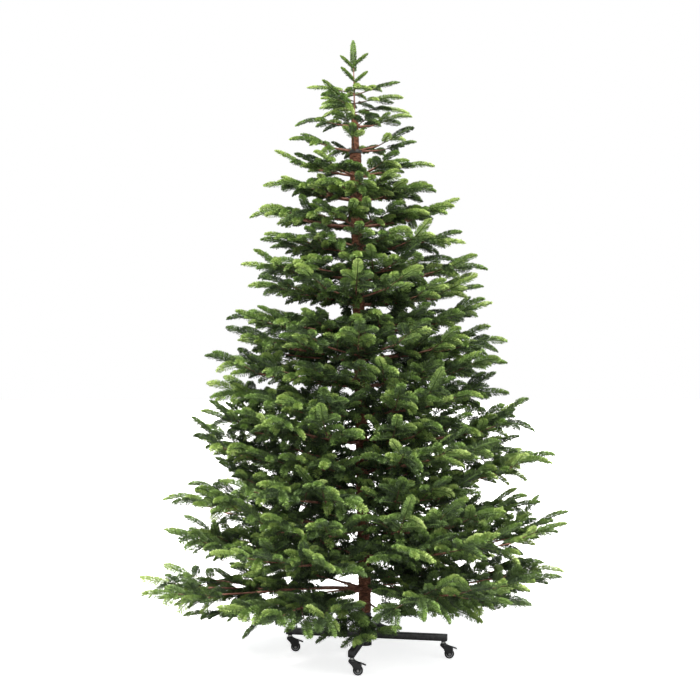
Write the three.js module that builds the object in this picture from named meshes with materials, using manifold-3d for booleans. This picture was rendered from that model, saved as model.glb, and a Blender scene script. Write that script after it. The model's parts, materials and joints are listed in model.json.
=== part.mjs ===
// An undecorated artificial fir tree on a four-castor stand.
// Millimetres, +Z up, the front faces -Y. The origin is on the floor, under the middle of the tree's box.
//
// The trunk is a wrapped steel pole in sections. Boughs leave it in whorls. Each mass of foliage is one
// bough's hand: a stem that forks into three limbs, which carry toothed sprays of needles.

import * as THREE from 'three';
import { mergeVertices } from 'three/addons/utils/BufferGeometryUtils.js';
import Module from 'manifold-3d';

const wasm = await Module();
wasm.setup();

// ---- Overall form ----
const HEIGHT = 3050;
const LEAN = THREE.MathUtils.degToRad(1.2);
const CROWN_RADIUS = 1075;
const CROWN_TIP_RADIUS = 90;
const CROWN_FOOT = 350;
const CROWN_POWER = 0.72;
const GAP = 0.3;

// Sides of the round pieces.
const TRUNK_SIDES = 12;
const SOCKET_SIDES = 16;
const WHEEL_SIDES = 16;
const PIN_SIDES = 10;

// ---- Whorls: the spacing opens a little from the top one down ----
const WHORLS = 18;
const TOP_WHORL = 2620;
const TOP_SPACING = 122;
const SPACING_GROWTH = 0.78;
const LOWER_WHORLS = 7;
const LOWER_BOUGHS = 3;
const UPPER_BOUGHS = 2;
const BARE_BOUGH_WHORLS = 2;

// ---- A bough and its limbs ----
const FOOT_RISE = 0.02;
const TOP_RISE = 0.2;
const TIP_RISE = 0.13;
const TIP_LIFT = 90;
const REACH_VARIATION = 0.06;
const FORK = 0.3;
const BARE_END = 0.24;
const LIMB_SPLAY_LOWER = 0.4;
const LIMB_SPLAY_UPPER = 0.66;
const SIDE_LIMB_SHORT = 0.1;
const STEM_RADIUS = 12;
const SIDE_LIMB_RADIUS = 7;
const LIMB_TIP_RADIUS = 5;
const STEM_STEPS = 4;
const SIDE_LIMB_STEPS = 2;

// ---- A spray of needles ----
const SPRAY_LENGTH = [200, 330];
const SPRAY_WIDTH = [0.4, 0.76];
const LEADER_SPRAY_WIDTH = 0.36;
const SPRAY_THICKNESS = 0.18;
const SPRAY_SPACING = 0.87;
const SPRAY_SIZES = [1, 0.8];
const FIRST_SPRAY = 0.12;
const AFTER_FORK = 0.03;
const FIRST_PAIR = 0.35;
const PAIR_STAGGER = 0.3;
const LENGTH_VARIATION = 0.07;
const SIDE_SPRAY_LENGTH = 0.92;
const SPRAY_ANGLE = THREE.MathUtils.degToRad(40);
const TERMINAL_SUNK = 30;
const SIDE_SUNK = 4;
const SPRAY_PITCH = 0.6;
const SPRAY_ROLL = [0.56, 1.4];
const MARKS_A_LIMB = 16;
const SPACE_MARGIN = 3;
const TRUNK_MARGIN = 14;

// ---- Trunk ----
const POLE_FOOT = 62;
const POLE_RADIUS = 24;
const WRAP_FOOT = 214;
const WRAP_RADIUS = 31;
const WRAP_TOP_RADIUS = 29.5;
const COLLAR_HEIGHT = 2486;
const COLLAR_RADIUS = 34;
const COLLAR_LIP = 5;
const COLLAR_LENGTH = 16;
const TOP_POLE_RADIUS = 19;
const TOP_POLE_END_RADIUS = 17;
const POLE_TOP = 2680;

// ---- Leader ----
const LEADER_RADIUS = 4.5;
const LEADER_TIP_RADIUS = 3;
const TERMINAL_LENGTH = 160;
const LEADER_ROLL = 0.6;
const LEADER_STAGGER = 13;
const LEADER_SUNK = 3;
const LEADER_RISE_SWING = 5;
const LEADER_SIDES = 4;
// Rings of shoots up the leader: height, count, length, rise in degrees, first direction in degrees.
const LEADER_RINGS = [
  { height: 2712, count: 5, length: 215, rise: 40, turn: 12 },
  { height: 2768, count: 4, length: 165, rise: 50, turn: 40 },
  { height: 2834, count: 2, length: 112, rise: 46, turn: 8 },
  { height: 2908, count: 2, length: 98, rise: 50, turn: 174 },
];

// ---- Stand ----
const ARM_SIDE = 32;
const ARM_BOTTOM = 87;
const ARM_TURN = THREE.MathUtils.degToRad(-10.5);
const ARMS = 4;
const CASTOR_OFFSET = 386;
const ARM_PAST_CASTOR = 18;
const SOCKET_RADIUS = 30;
const SOCKET_BOTTOM = 50;
const SOCKET_TOP = 208;
const SCREW_HEIGHT = 188;
const SCREW_RADIUS = 4;
const SCREW_SIDES = 6;
const SCREW_REACH = 52;
const SCREW_TURN = THREE.MathUtils.degToRad(-25);
const WING = { length: 6, width: 22, height: 14 };

// ---- Castors ----
const WHEEL_RADIUS = 24;
const WHEEL_WIDTH = 20;
const RIM_BEVEL = 2;
const WHEEL_BORE = 4;
const AXLE_RADIUS = 3.6;
const TRAIL = 28;
const FORK_WIDTH = 30;
const FORK_SLOT = 22;
const SLOT_RADIUS = 27;
const FORK_TOP = 70;
// The side view of a fork's cheek: distance behind the swivel axis and height.
const FORK_OUTLINE = [[-15, FORK_TOP], [-15, 58], [20, 16], [36, 16], [52, 42], [50, 58], [30, FORK_TOP]];
const DISC_RADIUS = 17;
const DISC_HEIGHT = 6;
const SWIVEL_RADIUS = 5.5;
const SWIVEL_DEPTH = 20;
const NUT_RADIUS = 9;
const NUT_SIDES = 6;
const PEDAL = { length: 26, width: 24, height: 4, behind: 56, up: 51, turn: 0.38 };

// A repeatable number from 0 to 1 for three whole numbers.
function rand(i, j, k) {
  const wave = Math.sin(i * 12.9898 + j * 78.233 + k * 37.719) * 43758.5453;
  return wave - Math.floor(wave);
}

// A repeatable number from -1 to 1.
function swing(i, j, k) {
  return 2 * rand(i, j, k) - 1;
}

// ---- Solids and meshes ----

// A closed geometry as a solid: shared corners are merged and flat triangles dropped.
function solidOf(geometry) {
  const bare = geometry.clone();
  bare.deleteAttribute('normal');
  bare.deleteAttribute('uv');
  const merged = mergeVertices(bare, 1e-3);
  const corners = merged.index.array;
  const kept = [];
  for (let i = 0; i < corners.length; i += 3) {
    const [a, b, c] = [corners[i], corners[i + 1], corners[i + 2]];
    if (a !== b && b !== c && c !== a) kept.push(a, b, c);
  }
  return new wasm.Manifold(new wasm.Mesh({
    numProp: 3,
    vertProperties: merged.attributes.position.array,
    triVerts: new Uint32Array(kept),
  }));
}

function joined(solids) {
  return solids.reduce((whole, next) => whole.add(next));
}

// The largest body of a solid, without loose scraps or sealed hollows.
function largestBody(solid) {
  const bodies = solid.decompose();
  bodies.sort((a, b) => b.volume() - a.volume());
  return bodies[0];
}

function geometryOf(solid) {
  const mesh = solid.getMesh();
  const geometry = new THREE.BufferGeometry();
  geometry.setAttribute('position', new THREE.BufferAttribute(mesh.vertProperties, 3));
  geometry.setIndex(new THREE.BufferAttribute(mesh.triVerts, 1));
  geometry.computeVertexNormals();
  return geometry;
}

function material(colour, roughness, metalness) {
  return new THREE.MeshStandardMaterial({ color: colour, roughness, metalness });
}

function namedMesh(name, solid, surface) {
  const mesh = new THREE.Mesh(geometryOf(solid), surface);
  mesh.name = name;
  return mesh;
}

// ---- Basic shapes ----

// A solid turned about the vertical, from a profile of radius and height pairs.
function turned(profile, sides) {
  const points = profile.map(([radius, height]) => new THREE.Vector2(radius, height));
  return new THREE.LatheGeometry(points, sides).rotateX(Math.PI / 2);
}

function uprightCylinder(radius, bottom, top, sides) {
  return turned([[0, bottom], [radius, bottom], [radius, top], [0, top]], sides);
}

// A straight three-sided prism bent along a curve and tapered from one radius to the other.
function taperedLimb(curve, rootRadius, tipRadius, steps) {
  const section = new THREE.Shape([0, 1, 2].map((k) => {
    const angle = (Math.PI * 2 * k) / 3 + Math.PI / 2;
    return new THREE.Vector2(Math.cos(angle), Math.sin(angle));
  }));
  const geometry = new THREE.ExtrudeGeometry(section, { depth: 1, steps, bevelEnabled: false });
  const position = geometry.attributes.position;
  const up = new THREE.Vector3(0, 0, 1);
  for (let i = 0; i < position.count; i += 1) {
    const along = position.getZ(i);
    const ahead = curve.getTangent(along);
    const side = new THREE.Vector3().crossVectors(up, ahead).normalize();
    const above = new THREE.Vector3().crossVectors(ahead, side);
    const radius = rootRadius + (tipRadius - rootRadius) * along;
    const point = curve.getPoint(along);
    point.addScaledVector(side, radius * position.getX(i));
    point.addScaledVector(above, radius * position.getY(i));
    position.setXYZ(i, point.x, point.y, point.z);
  }
  return geometry;
}

// ---- The crown's rule ----

function whorlHeight(whorl) {
  const down = WHORLS - 1 - whorl;
  return TOP_WHORL - TOP_SPACING * down - SPACING_GROWTH * down * (down - 1);
}

function axisX(height) {
  return -height * Math.tan(LEAN);
}

// The crown's radius at the height of its tips.
function crownRadius(height) {
  const below = THREE.MathUtils.clamp((HEIGHT - height) / (HEIGHT - CROWN_FOOT), 0, 1);
  return CROWN_TIP_RADIUS + (CROWN_RADIUS - CROWN_TIP_RADIUS) * below ** CROWN_POWER;
}

function whorlReach(whorl) {
  return crownRadius(whorlHeight(whorl) + TIP_LIFT);
}

function whorlRise(whorl) {
  return FOOT_RISE + ((TOP_RISE - FOOT_RISE) * whorl) / (WHORLS - 1);
}

// The height of a whorl's middle surface at a distance from the trunk's axis.
function whorlSurface(whorl, distance) {
  const bend = (TIP_RISE * distance * distance) / whorlReach(whorl);
  return whorlHeight(whorl) + whorlRise(whorl) * distance + bend;
}

function boughsIn(whorl) {
  return whorl < LOWER_WHORLS ? LOWER_BOUGHS : UPPER_BOUGHS;
}

function boughDirection(whorl, bough) {
  const share = (Math.PI * 2) / boughsIn(whorl);
  return share * (bough + ((whorl + 1) % 2) / 2);
}

function boughReach(whorl, bough) {
  return whorlReach(whorl) * (1 + REACH_VARIATION * swing(whorl, bough, 1));
}

// The middle line of one limb, in a frame with its root on the trunk's axis and X outwards.
// Limb 0 runs straight on from the stem, and limbs -1 and 1 fan out from the fork.
class LimbCurve extends THREE.Curve {
  constructor(whorl, reach, limb, from, to) {
    super();
    this.whorl = whorl;
    this.reach = reach;
    this.limb = limb;
    this.from = from;
    this.to = to;
  }

  getPoint(t) {
    const share = this.from + (this.to - this.from) * t;
    const past = Math.max(0, share - FORK);
    const splay = this.whorl < LOWER_WHORLS ? LIMB_SPLAY_LOWER : LIMB_SPLAY_UPPER;
    const x = this.reach * (share - SIDE_LIMB_SHORT * Math.abs(this.limb) * past);
    const y = this.reach * this.limb * splay * past;
    const z = whorlSurface(this.whorl, Math.hypot(x, y)) - whorlHeight(this.whorl);
    return new THREE.Vector3(x, y, z);
  }
}

// The space that one mass keeps to: a sector about the trunk between two whorl surfaces.
class Space {
  constructor(low, high, halfAngle) {
    this.low = low;
    this.high = high;
    this.halfAngle = halfAngle;
  }

  // Points are in the mass's own frame; base is the height of that frame.
  holds(point, base) {
    const distance = Math.hypot(point.x, point.y);
    const height = base + point.z;
    if (distance < WRAP_RADIUS + TRUNK_MARGIN) return false;
    if (height < whorlSurface(this.low, distance) + SPACE_MARGIN) return false;
    if (height > whorlSurface(this.high, distance) - SPACE_MARGIN) return false;
    const aside = this.halfAngle - Math.abs(Math.atan2(point.y, point.x));
    return distance * Math.sin(Math.min(aside, Math.PI / 2)) > SPACE_MARGIN;
  }
}

const CROWN_SPLIT = LOWER_WHORLS - 0.5;
const CROWN_TOP = WHORLS - 0.3;

function massSpace(whorl) {
  const lower = whorl < LOWER_WHORLS;
  const low = whorl < 2 ? -1 : whorl - 1;
  const high = whorl + 1;
  return new Space(
    lower ? low : Math.max(low, CROWN_SPLIT),
    Math.min(high, lower ? CROWN_SPLIT : CROWN_TOP),
    Math.PI / boughsIn(whorl) / 2,
  );
}

// ---- Sprays of needles ----

// Half the toothed outline from root to tip, as shares of length and width.
const SPRAY_OUTLINE = [[0, 0], [0.46, 0.5], [0.56, 0.24], [0.84, 0.36], [1, 0]];
const SPRAY_RIDGE = 0.42;

// A toothed blade that is flat underneath and comes to one peak above: X along it, from its root.
function sprayGeometry(length, width) {
  const half = SPRAY_OUTLINE.map(([x, y]) => [x * length, -y * width]);
  const other = half.slice(1, -1).reverse().map(([x, y]) => [x, -y]);
  const rim = [...half, ...other].map(([x, y]) => new THREE.Vector3(x, y, 0));
  const flat = THREE.ShapeUtils.triangulateShape(rim, []);
  const corners = flat.flatMap(([a, b, c]) => [c, b, a]);
  rim.forEach((_, k) => corners.push(k, (k + 1) % rim.length, rim.length));
  const peak = new THREE.Vector3(SPRAY_RIDGE * length, 0, SPRAY_THICKNESS * length);
  const geometry = new THREE.BufferGeometry().setFromPoints([...rim, peak]);
  geometry.setIndex(corners);
  return geometry;
}

// A spray laid along a direction, with its root sunk back past the point that it grows from.
function placedSpray({ root, direction, length, width, roll, sunk }) {
  const side = new THREE.Vector3(0, 0, 1).cross(direction);
  if (side.lengthSq() < 1e-6) side.set(1, 0, 0);
  side.normalize().applyAxisAngle(direction, roll);
  const above = new THREE.Vector3().crossVectors(direction, side);
  const start = root.clone().addScaledVector(direction, -sunk);
  const place = new THREE.Matrix4().makeBasis(direction, side, above).setPosition(start);
  return sprayGeometry(length, width).applyMatrix4(place);
}

function cornersOf(geometry) {
  const position = geometry.attributes.position;
  return Array.from({ length: position.count }, (_, i) => (
    new THREE.Vector3().fromBufferAttribute(position, i)
  ));
}

// The direction at an angle to one side of a limb, with some rise or fall.
function sideDirection(ahead, angle, pitch) {
  const flat = Math.atan2(ahead.y, ahead.x) + angle;
  const rise = Math.atan2(ahead.z, Math.hypot(ahead.x, ahead.y)) + pitch;
  return new THREE.Vector3(
    Math.cos(flat) * Math.cos(rise),
    Math.sin(flat) * Math.cos(rise),
    Math.sin(rise),
  );
}

// A value between the two of a pair, for a bough's reach as a share of the crown's radius.
function forReach([least, most], reach) {
  return THREE.MathUtils.lerp(least, most, Math.min(1, reach / CROWN_RADIUS));
}

function sprayLength(reach) {
  return forReach(SPRAY_LENGTH, reach);
}

// Where a limb stops, so that its terminal spray ends at the bough's reach.
function limbEnd(reach) {
  return 1 - (sprayLength(reach) - TERMINAL_SUNK) / reach;
}

// The share of the reach where a mass takes over from its bough, or 0 where it springs from the trunk.
function massStart(whorl) {
  return whorl < BARE_BOUGH_WHORLS ? BARE_END : 0;
}

// The sprays that one limb would carry: a terminal one, then pairs to both sides back towards the trunk.
function wantedSprays(whorl, bough, limb, reach) {
  const length = sprayLength(reach);
  const end = limbEnd(reach);
  const step = (SPRAY_SPACING * length) / reach;
  const curve = new LimbCurve(whorl, reach, limb, 0, 1);
  const first = limb === 0 ? massStart(whorl) + FIRST_SPRAY : FORK + AFTER_FORK;
  const spots = [{ share: end, angle: 0 }];
  for (let share = end - step * FIRST_PAIR; share > first; share -= step) {
    spots.push({ share, angle: SPRAY_ANGLE });
    spots.push({ share: share - step * PAIR_STAGGER, angle: -SPRAY_ANGLE });
  }
  return spots.map(({ share, angle }, place) => {
    const mark = (bough * 3 + limb + 1) * MARKS_A_LIMB + place;
    const sideways = place > 0;
    const pitch = SPRAY_PITCH * swing(whorl, mark, 3) * (sideways ? 1 : 0.5);
    const full = sideways ? SIDE_SPRAY_LENGTH * length : length;
    const own = full * (1 - LENGTH_VARIATION * rand(whorl, mark, 2));
    const roll = THREE.MathUtils.lerp(...SPRAY_ROLL, rand(whorl, mark, 4));
    return {
      root: curve.getPoint(share),
      direction: sideDirection(curve.getTangent(share), angle, pitch),
      length: own,
      width: own * forReach(SPRAY_WIDTH, reach),
      roll: place % 2 ? roll : -roll,
      sunk: sideways ? SIDE_SUNK : TERMINAL_SUNK,
    };
  });
}

// Adds each wanted spray at the largest size that stays in the space and clear of those before it.
function fittedSprays(wanted, space, base) {
  const fitted = [];
  wanted.forEach((full) => {
    for (const size of SPRAY_SIZES) {
      const spray = placedSpray({ ...full, length: full.length * size, width: full.width * size });
      if (!cornersOf(spray).every((corner) => space.holds(corner, base))) continue;
      const solid = solidOf(spray);
      if (fitted.some((other) => !other.intersect(solid).isEmpty())) continue;
      fitted.push(solid);
      break;
    }
  });
  return fitted;
}

// ---- Boughs and masses ----

// Moves a solid from a bough's frame to the tree's.
function ontoTrunk(solid, whorl, bough) {
  const height = whorlHeight(whorl);
  const turn = THREE.MathUtils.radToDeg(boughDirection(whorl, bough));
  return solid.rotate([0, 0, turn]).translate([axisX(height), 0, height]);
}

// Part of the limb that runs straight on from the trunk, between two shares of the reach.
function stemGeometry(whorl, reach, from, to) {
  const radiusAt = (share) => STEM_RADIUS + (LIMB_TIP_RADIUS - STEM_RADIUS) * share;
  const steps = Math.max(1, Math.round(STEM_STEPS * (to - from)));
  return taperedLimb(new LimbCurve(whorl, reach, 0, from, to), radiusAt(from), radiusAt(to), steps);
}

// A limb that leaves the stem at the fork, its root inside the stem.
function sideLimbGeometry(whorl, reach, limb, end) {
  const curve = new LimbCurve(whorl, reach, limb, FORK, end);
  return taperedLimb(curve, SIDE_LIMB_RADIUS, LIMB_TIP_RADIUS, SIDE_LIMB_STEPS);
}

function boughSolid(whorl, bough, trunkClearance) {
  const reach = boughReach(whorl, bough);
  const end = BARE_END - GAP / reach;
  const limb = solidOf(stemGeometry(whorl, reach, 0, end));
  return ontoTrunk(limb, whorl, bough).subtract(trunkClearance);
}

function massSolid(whorl, bough, trunkClearance) {
  const reach = boughReach(whorl, bough);
  const start = massStart(whorl);
  const end = limbEnd(reach);
  const limbs = [
    stemGeometry(whorl, reach, start, end),
    sideLimbGeometry(whorl, reach, -1, end),
    sideLimbGeometry(whorl, reach, 1, end),
  ];
  const wanted = [0, -1, 1].flatMap((limb) => wantedSprays(whorl, bough, limb, reach));
  const sprays = fittedSprays(wanted, massSpace(whorl), whorlHeight(whorl));
  const whole = joined([...limbs.map(solidOf), ...sprays]);
  return largestBody(ontoTrunk(whole, whorl, bough).subtract(trunkClearance));
}

function leaderSprays() {
  const upward = new THREE.Vector3(-Math.sin(LEAN), 0, Math.cos(LEAN));
  const end = HEIGHT - TERMINAL_LENGTH + TERMINAL_SUNK;
  const sprays = [{
    root: new THREE.Vector3(axisX(end), 0, end),
    direction: upward,
    length: TERMINAL_LENGTH,
    roll: 0,
    sunk: TERMINAL_SUNK,
  }];
  LEADER_RINGS.forEach((ring, level) => {
    for (let k = 0; k < ring.count; k += 1) {
      const height = ring.height + LEADER_STAGGER * k;
      const turn = THREE.MathUtils.degToRad(ring.turn) + (Math.PI * 2 * k) / ring.count;
      const flat = new THREE.Vector3(Math.cos(turn), Math.sin(turn), 0);
      const rise = THREE.MathUtils.degToRad(ring.rise + LEADER_RISE_SWING * swing(level, k, 5));
      sprays.push({
        root: new THREE.Vector3(axisX(height), 0, height),
        direction: sideDirection(flat, 0, rise),
        length: ring.length,
        roll: LEADER_ROLL * swing(level, k, 6),
        sunk: LEADER_SUNK,
      });
    }
  });
  return sprays.map((spray) => ({ ...spray, width: spray.length * LEADER_SPRAY_WIDTH }));
}

function leaderSolid() {
  const sprays = leaderSprays();
  const foot = new THREE.Vector3(axisX(POLE_TOP), 0, POLE_TOP + GAP);
  const middle = foot.clone().add(sprays[0].root).multiplyScalar(0.5);
  const length = foot.distanceTo(sprays[0].root);
  const stem = new THREE.CylinderGeometry(LEADER_TIP_RADIUS, LEADER_RADIUS, length, LEADER_SIDES);
  stem.rotateX(Math.PI / 2).rotateY(-LEAN).translate(middle.x, middle.y, middle.z);
  return largestBody(joined([stem, ...sprays.map(placedSpray)].map(solidOf)));
}

// ---- Trunk ----

// The pole's profile, with every face moved out by a clearance.
function trunkGeometry(clearance) {
  const out = clearance / Math.cos(Math.PI / TRUNK_SIDES);
  const profile = [
    [0, POLE_FOOT - clearance],
    [POLE_RADIUS + out, POLE_FOOT - clearance],
    [POLE_RADIUS + out, WRAP_FOOT - clearance],
    [WRAP_RADIUS + out, WRAP_FOOT - clearance],
    [WRAP_TOP_RADIUS + out, COLLAR_HEIGHT],
    [COLLAR_RADIUS + out, COLLAR_HEIGHT + COLLAR_LIP],
    [COLLAR_RADIUS + out, COLLAR_HEIGHT + COLLAR_LENGTH],
    [TOP_POLE_RADIUS + out, COLLAR_HEIGHT + COLLAR_LENGTH + COLLAR_LIP + clearance],
    [TOP_POLE_END_RADIUS + out, POLE_TOP + clearance],
    [0, POLE_TOP + clearance],
  ];
  return turned(profile, TRUNK_SIDES).rotateY(-LEAN);
}

// ---- Stand ----

// One of the two crossed square tubes, each of which makes two arms.
function crossBar(turn) {
  const bar = new THREE.BoxGeometry(2 * (CASTOR_OFFSET + ARM_PAST_CASTOR), ARM_SIDE, ARM_SIDE);
  return bar.rotateZ(turn).translate(0, 0, ARM_BOTTOM + ARM_SIDE / 2);
}

function castorPlace(index) {
  const turn = ARM_TURN + (Math.PI * 2 * index) / ARMS;
  return new THREE.Vector3(CASTOR_OFFSET * Math.cos(turn), CASTOR_OFFSET * Math.sin(turn), 0);
}

// A wing screw through the socket's wall, pointing out to the right of the front.
function wingScrew() {
  const shank = new THREE.CylinderGeometry(SCREW_RADIUS, SCREW_RADIUS, SCREW_REACH, SCREW_SIDES);
  shank.rotateZ(Math.PI / 2).translate(SCREW_REACH / 2, 0, SCREW_HEIGHT);
  const wing = new THREE.BoxGeometry(WING.length, WING.width, WING.height);
  wing.translate(SCREW_REACH, 0, SCREW_HEIGHT);
  return [shank, wing].map((piece) => piece.rotateZ(SCREW_TURN));
}

function standFrame(trunkClearance) {
  const socket = uprightCylinder(SOCKET_RADIUS, SOCKET_BOTTOM, SOCKET_TOP, SOCKET_SIDES).rotateY(-LEAN);
  const bars = [crossBar(ARM_TURN), crossBar(ARM_TURN + Math.PI / 2)];
  const solids = [socket, ...bars, ...wingScrew()].map(solidOf);
  const hole = SWIVEL_RADIUS + GAP;
  const holes = Array.from({ length: ARMS }, (_, i) => {
    const place = castorPlace(i);
    const bore = uprightCylinder(hole, ARM_BOTTOM - 1, ARM_BOTTOM + SWIVEL_DEPTH + GAP, PIN_SIDES);
    return solidOf(bore.translate(place.x, place.y, 0));
  });
  return joined(solids).subtract(trunkClearance).subtract(joined(holes));
}

// ---- Castors: each in a frame with the swivel axis at its origin, trailing along X ----

function forkSolid() {
  const outline = new THREE.Shape(FORK_OUTLINE.map(([x, z]) => new THREE.Vector2(x, z)));
  const cheeks = new THREE.ExtrudeGeometry(outline, { depth: FORK_WIDTH, bevelEnabled: false });
  cheeks.rotateX(Math.PI / 2).translate(0, FORK_WIDTH / 2, 0);
  const slot = new THREE.CylinderGeometry(SLOT_RADIUS, SLOT_RADIUS, FORK_SLOT, WHEEL_SIDES);
  slot.translate(TRAIL, 0, WHEEL_RADIUS);
  const axle = new THREE.CylinderGeometry(AXLE_RADIUS, AXLE_RADIUS, FORK_WIDTH - 2, PIN_SIDES);
  axle.translate(TRAIL, 0, WHEEL_RADIUS);
  const disc = uprightCylinder(DISC_RADIUS, FORK_TOP - 1, FORK_TOP + DISC_HEIGHT, SOCKET_SIDES);
  const nut = uprightCylinder(NUT_RADIUS, FORK_TOP, ARM_BOTTOM - GAP, NUT_SIDES);
  const swivel = uprightCylinder(SWIVEL_RADIUS, FORK_TOP, ARM_BOTTOM + SWIVEL_DEPTH, PIN_SIDES);
  const pedal = new THREE.BoxGeometry(PEDAL.length, PEDAL.width, PEDAL.height);
  pedal.rotateY(PEDAL.turn).translate(PEDAL.behind, 0, PEDAL.up);
  const housing = solidOf(cheeks).subtract(solidOf(slot));
  return joined([housing, ...[axle, disc, nut, swivel, pedal].map(solidOf)]);
}

// A many-sided wheel with bevelled rims, as high as its true radius to the middle of each flat.
function wheelSolid() {
  const half = WHEEL_WIDTH / 2;
  const flat = half - RIM_BEVEL;
  const profile = [
    [WHEEL_BORE, -half], [WHEEL_RADIUS - RIM_BEVEL, -half], [WHEEL_RADIUS, -flat],
    [WHEEL_RADIUS, flat], [WHEEL_RADIUS - RIM_BEVEL, half], [WHEEL_BORE, half], [WHEEL_BORE, -half],
  ];
  const toCorner = 1 / Math.cos(Math.PI / WHEEL_SIDES);
  const points = profile.map(([radius, along]) => new THREE.Vector2(radius * toCorner, along));
  return solidOf(new THREE.LatheGeometry(points, WHEEL_SIDES).rotateY(Math.PI / WHEEL_SIDES));
}

function castor(index, fork, wheel) {
  const place = new THREE.Group();
  place.position.copy(castorPlace(index));
  place.add(namedMesh(`castor_fork_${index + 1}`, fork, material(0x1b1c1f, 0.45, 0.0)));
  const wheelMesh = namedMesh(`castor_wheel_${index + 1}`, wheel, material(0x2c2d30, 0.6, 0.0));
  wheelMesh.position.set(TRAIL, 0, WHEEL_RADIUS);
  place.add(wheelMesh);
  return place;
}

// ---- The whole tree ----

function twoDigits(number) {
  return String(number).padStart(2, '0');
}

function crown(trunkClearance) {
  const group = new THREE.Group();
  for (let whorl = 0; whorl < WHORLS; whorl += 1) {
    for (let bough = 0; bough < boughsIn(whorl); bough += 1) {
      const label = `${twoDigits(whorl + 1)}_${bough + 1}`;
      const mass = massSolid(whorl, bough, trunkClearance);
      group.add(namedMesh(`foliage_${label}`, mass, material(0x4b5f33, 0.75, 0.0)));
      if (whorl >= BARE_BOUGH_WHORLS) continue;
      const limb = boughSolid(whorl, bough, trunkClearance);
      group.add(namedMesh(`bough_${label}`, limb, material(0x5a4030, 0.9, 0.0)));
    }
  }
  group.add(namedMesh('leader', leaderSolid(), material(0x6d8048, 0.7, 0.0)));
  return group;
}

function wholeTree() {
  const group = new THREE.Group();
  const trunkClearance = solidOf(trunkGeometry(GAP));
  group.add(namedMesh('trunk', solidOf(trunkGeometry(0)), material(0x6b4a36, 0.9, 0.0)));
  group.add(namedMesh('stand_frame', standFrame(trunkClearance), material(0x18191b, 0.4, 0.6)));
  group.add(crown(trunkClearance));
  const fork = forkSolid();
  const wheel = wheelSolid();
  for (let i = 0; i < ARMS; i += 1) group.add(castor(i, fork, wheel));
  return group;
}

// The origin goes under the middle of the tree's box, at floor level.
function centred(group) {
  const box = new THREE.Box3().setFromObject(group, true);
  const middle = box.getCenter(new THREE.Vector3());
  group.position.set(-middle.x, -middle.y, 0);
  return group;
}

export default centred(wholeTree());
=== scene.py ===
"""An undecorated artificial fir on its castor stand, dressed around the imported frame.

Metres, +Z up, the front faces -Y. The frame gives the place of every castor, and with them the
trunk's foot. The crown grows from there by the part's own rule, with finer boughs, fronds and shoots.
"""

import json
import math

import bmesh
import bpy
import numpy as np
from mathutils import Matrix, Vector, noise


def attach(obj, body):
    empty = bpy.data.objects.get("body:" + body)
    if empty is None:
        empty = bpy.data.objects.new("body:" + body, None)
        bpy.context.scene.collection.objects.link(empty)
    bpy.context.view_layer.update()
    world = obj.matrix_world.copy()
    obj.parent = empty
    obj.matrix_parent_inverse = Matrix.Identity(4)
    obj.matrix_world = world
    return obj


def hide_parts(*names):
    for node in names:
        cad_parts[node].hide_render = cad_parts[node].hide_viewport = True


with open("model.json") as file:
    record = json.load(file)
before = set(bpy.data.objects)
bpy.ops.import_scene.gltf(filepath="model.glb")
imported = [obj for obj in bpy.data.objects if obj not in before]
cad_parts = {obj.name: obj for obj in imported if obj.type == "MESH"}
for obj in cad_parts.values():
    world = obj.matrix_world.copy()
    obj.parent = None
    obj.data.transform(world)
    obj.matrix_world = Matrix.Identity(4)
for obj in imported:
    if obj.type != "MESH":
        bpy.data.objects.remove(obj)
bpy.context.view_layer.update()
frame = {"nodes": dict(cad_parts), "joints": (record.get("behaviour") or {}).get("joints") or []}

MM = 0.001


def metres(*pairs):
    """Pairs of millimetres, as metres."""
    return tuple((a * MM, b * MM) for a, b in pairs)


# ---- Overall form, as in the part ----
HEIGHT = 3050 * MM
LEAN = math.radians(1.2)
CROWN_RADIUS = 1075 * MM
CROWN_TIP_RADIUS = 90 * MM
CROWN_FOOT = 350 * MM
CROWN_POWER = 0.72

# ---- Whorls, as in the part ----
WHORLS = 18
TOP_WHORL = 2620 * MM
TOP_SPACING = 122 * MM
SPACING_GROWTH = 0.78 * MM
LOWER_WHORLS = 7
LOWER_BOUGHS = 3
UPPER_BOUGHS = 2

# ---- Where growth changes up the crown, by whorl ----
LOW_WHORLS = 2
MIDDLE_TIER_FROM = 4
UPPER_TIER_FROM = 9
TOP_FROM = 13
SINGLE_LIMB_FROM = 15
FLATTER_FROM = 5
FLATTER_OVER = 6
TIERS = ("lower", "middle", "upper")

# ---- A bough and its limbs ----
FOOT_RISE = 0.02
TOP_RISE = 0.2
TIP_RISE = 0.13
TIP_LIFT = 90 * MM
REACH_VARIATION = 0.06
FORK = 0.3
LIMB_SPLAY_LOWER = 0.4
LIMB_SPLAY_UPPER = 0.66
SIDE_LIMB_SHORT = 0.1
# How far a limb strays from its line, sideways and up or down, as a share of its reach.
WANDER = 0.035
WANDER_RISE = 0.6 * WANDER
# Boughs hang a little below the solids' line towards the top, each by its own amount.
EASED_RISE = 0.1
OWN_RISE = 0.05
# Boughs bent down, listed one by one: whorl and mark, with the share of its reach that each hangs lower.
BENT_BOUGHS = {(0, 1): 0.15, (0, 11): 0.1, (1, 2): 0.06}
MAIN_LIMB = ((7.8 * MM, 4 * MM), 8)
SIDE_LIMB = ((6.2 * MM, 3.4 * MM), 6)
SHORTEST_THINNED = 0.7
LIMB_STEP = 22 * MM
ROOT_SUNK = 4 * MM

# ---- Boughs that fill between the part's own: where they lie between two, and their reach ----
FILLERS_LOWER = (0.5,)
FILLERS_UPPER = (0.36, 0.68)
FILLERS_TOP = (0.34, 0.66)
FILLER_REACH = (0.8, 1.0)
FILLER_MARK = 10
MARKS_A_LIMB = 16
MARKS_A_WHORL = 500

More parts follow.
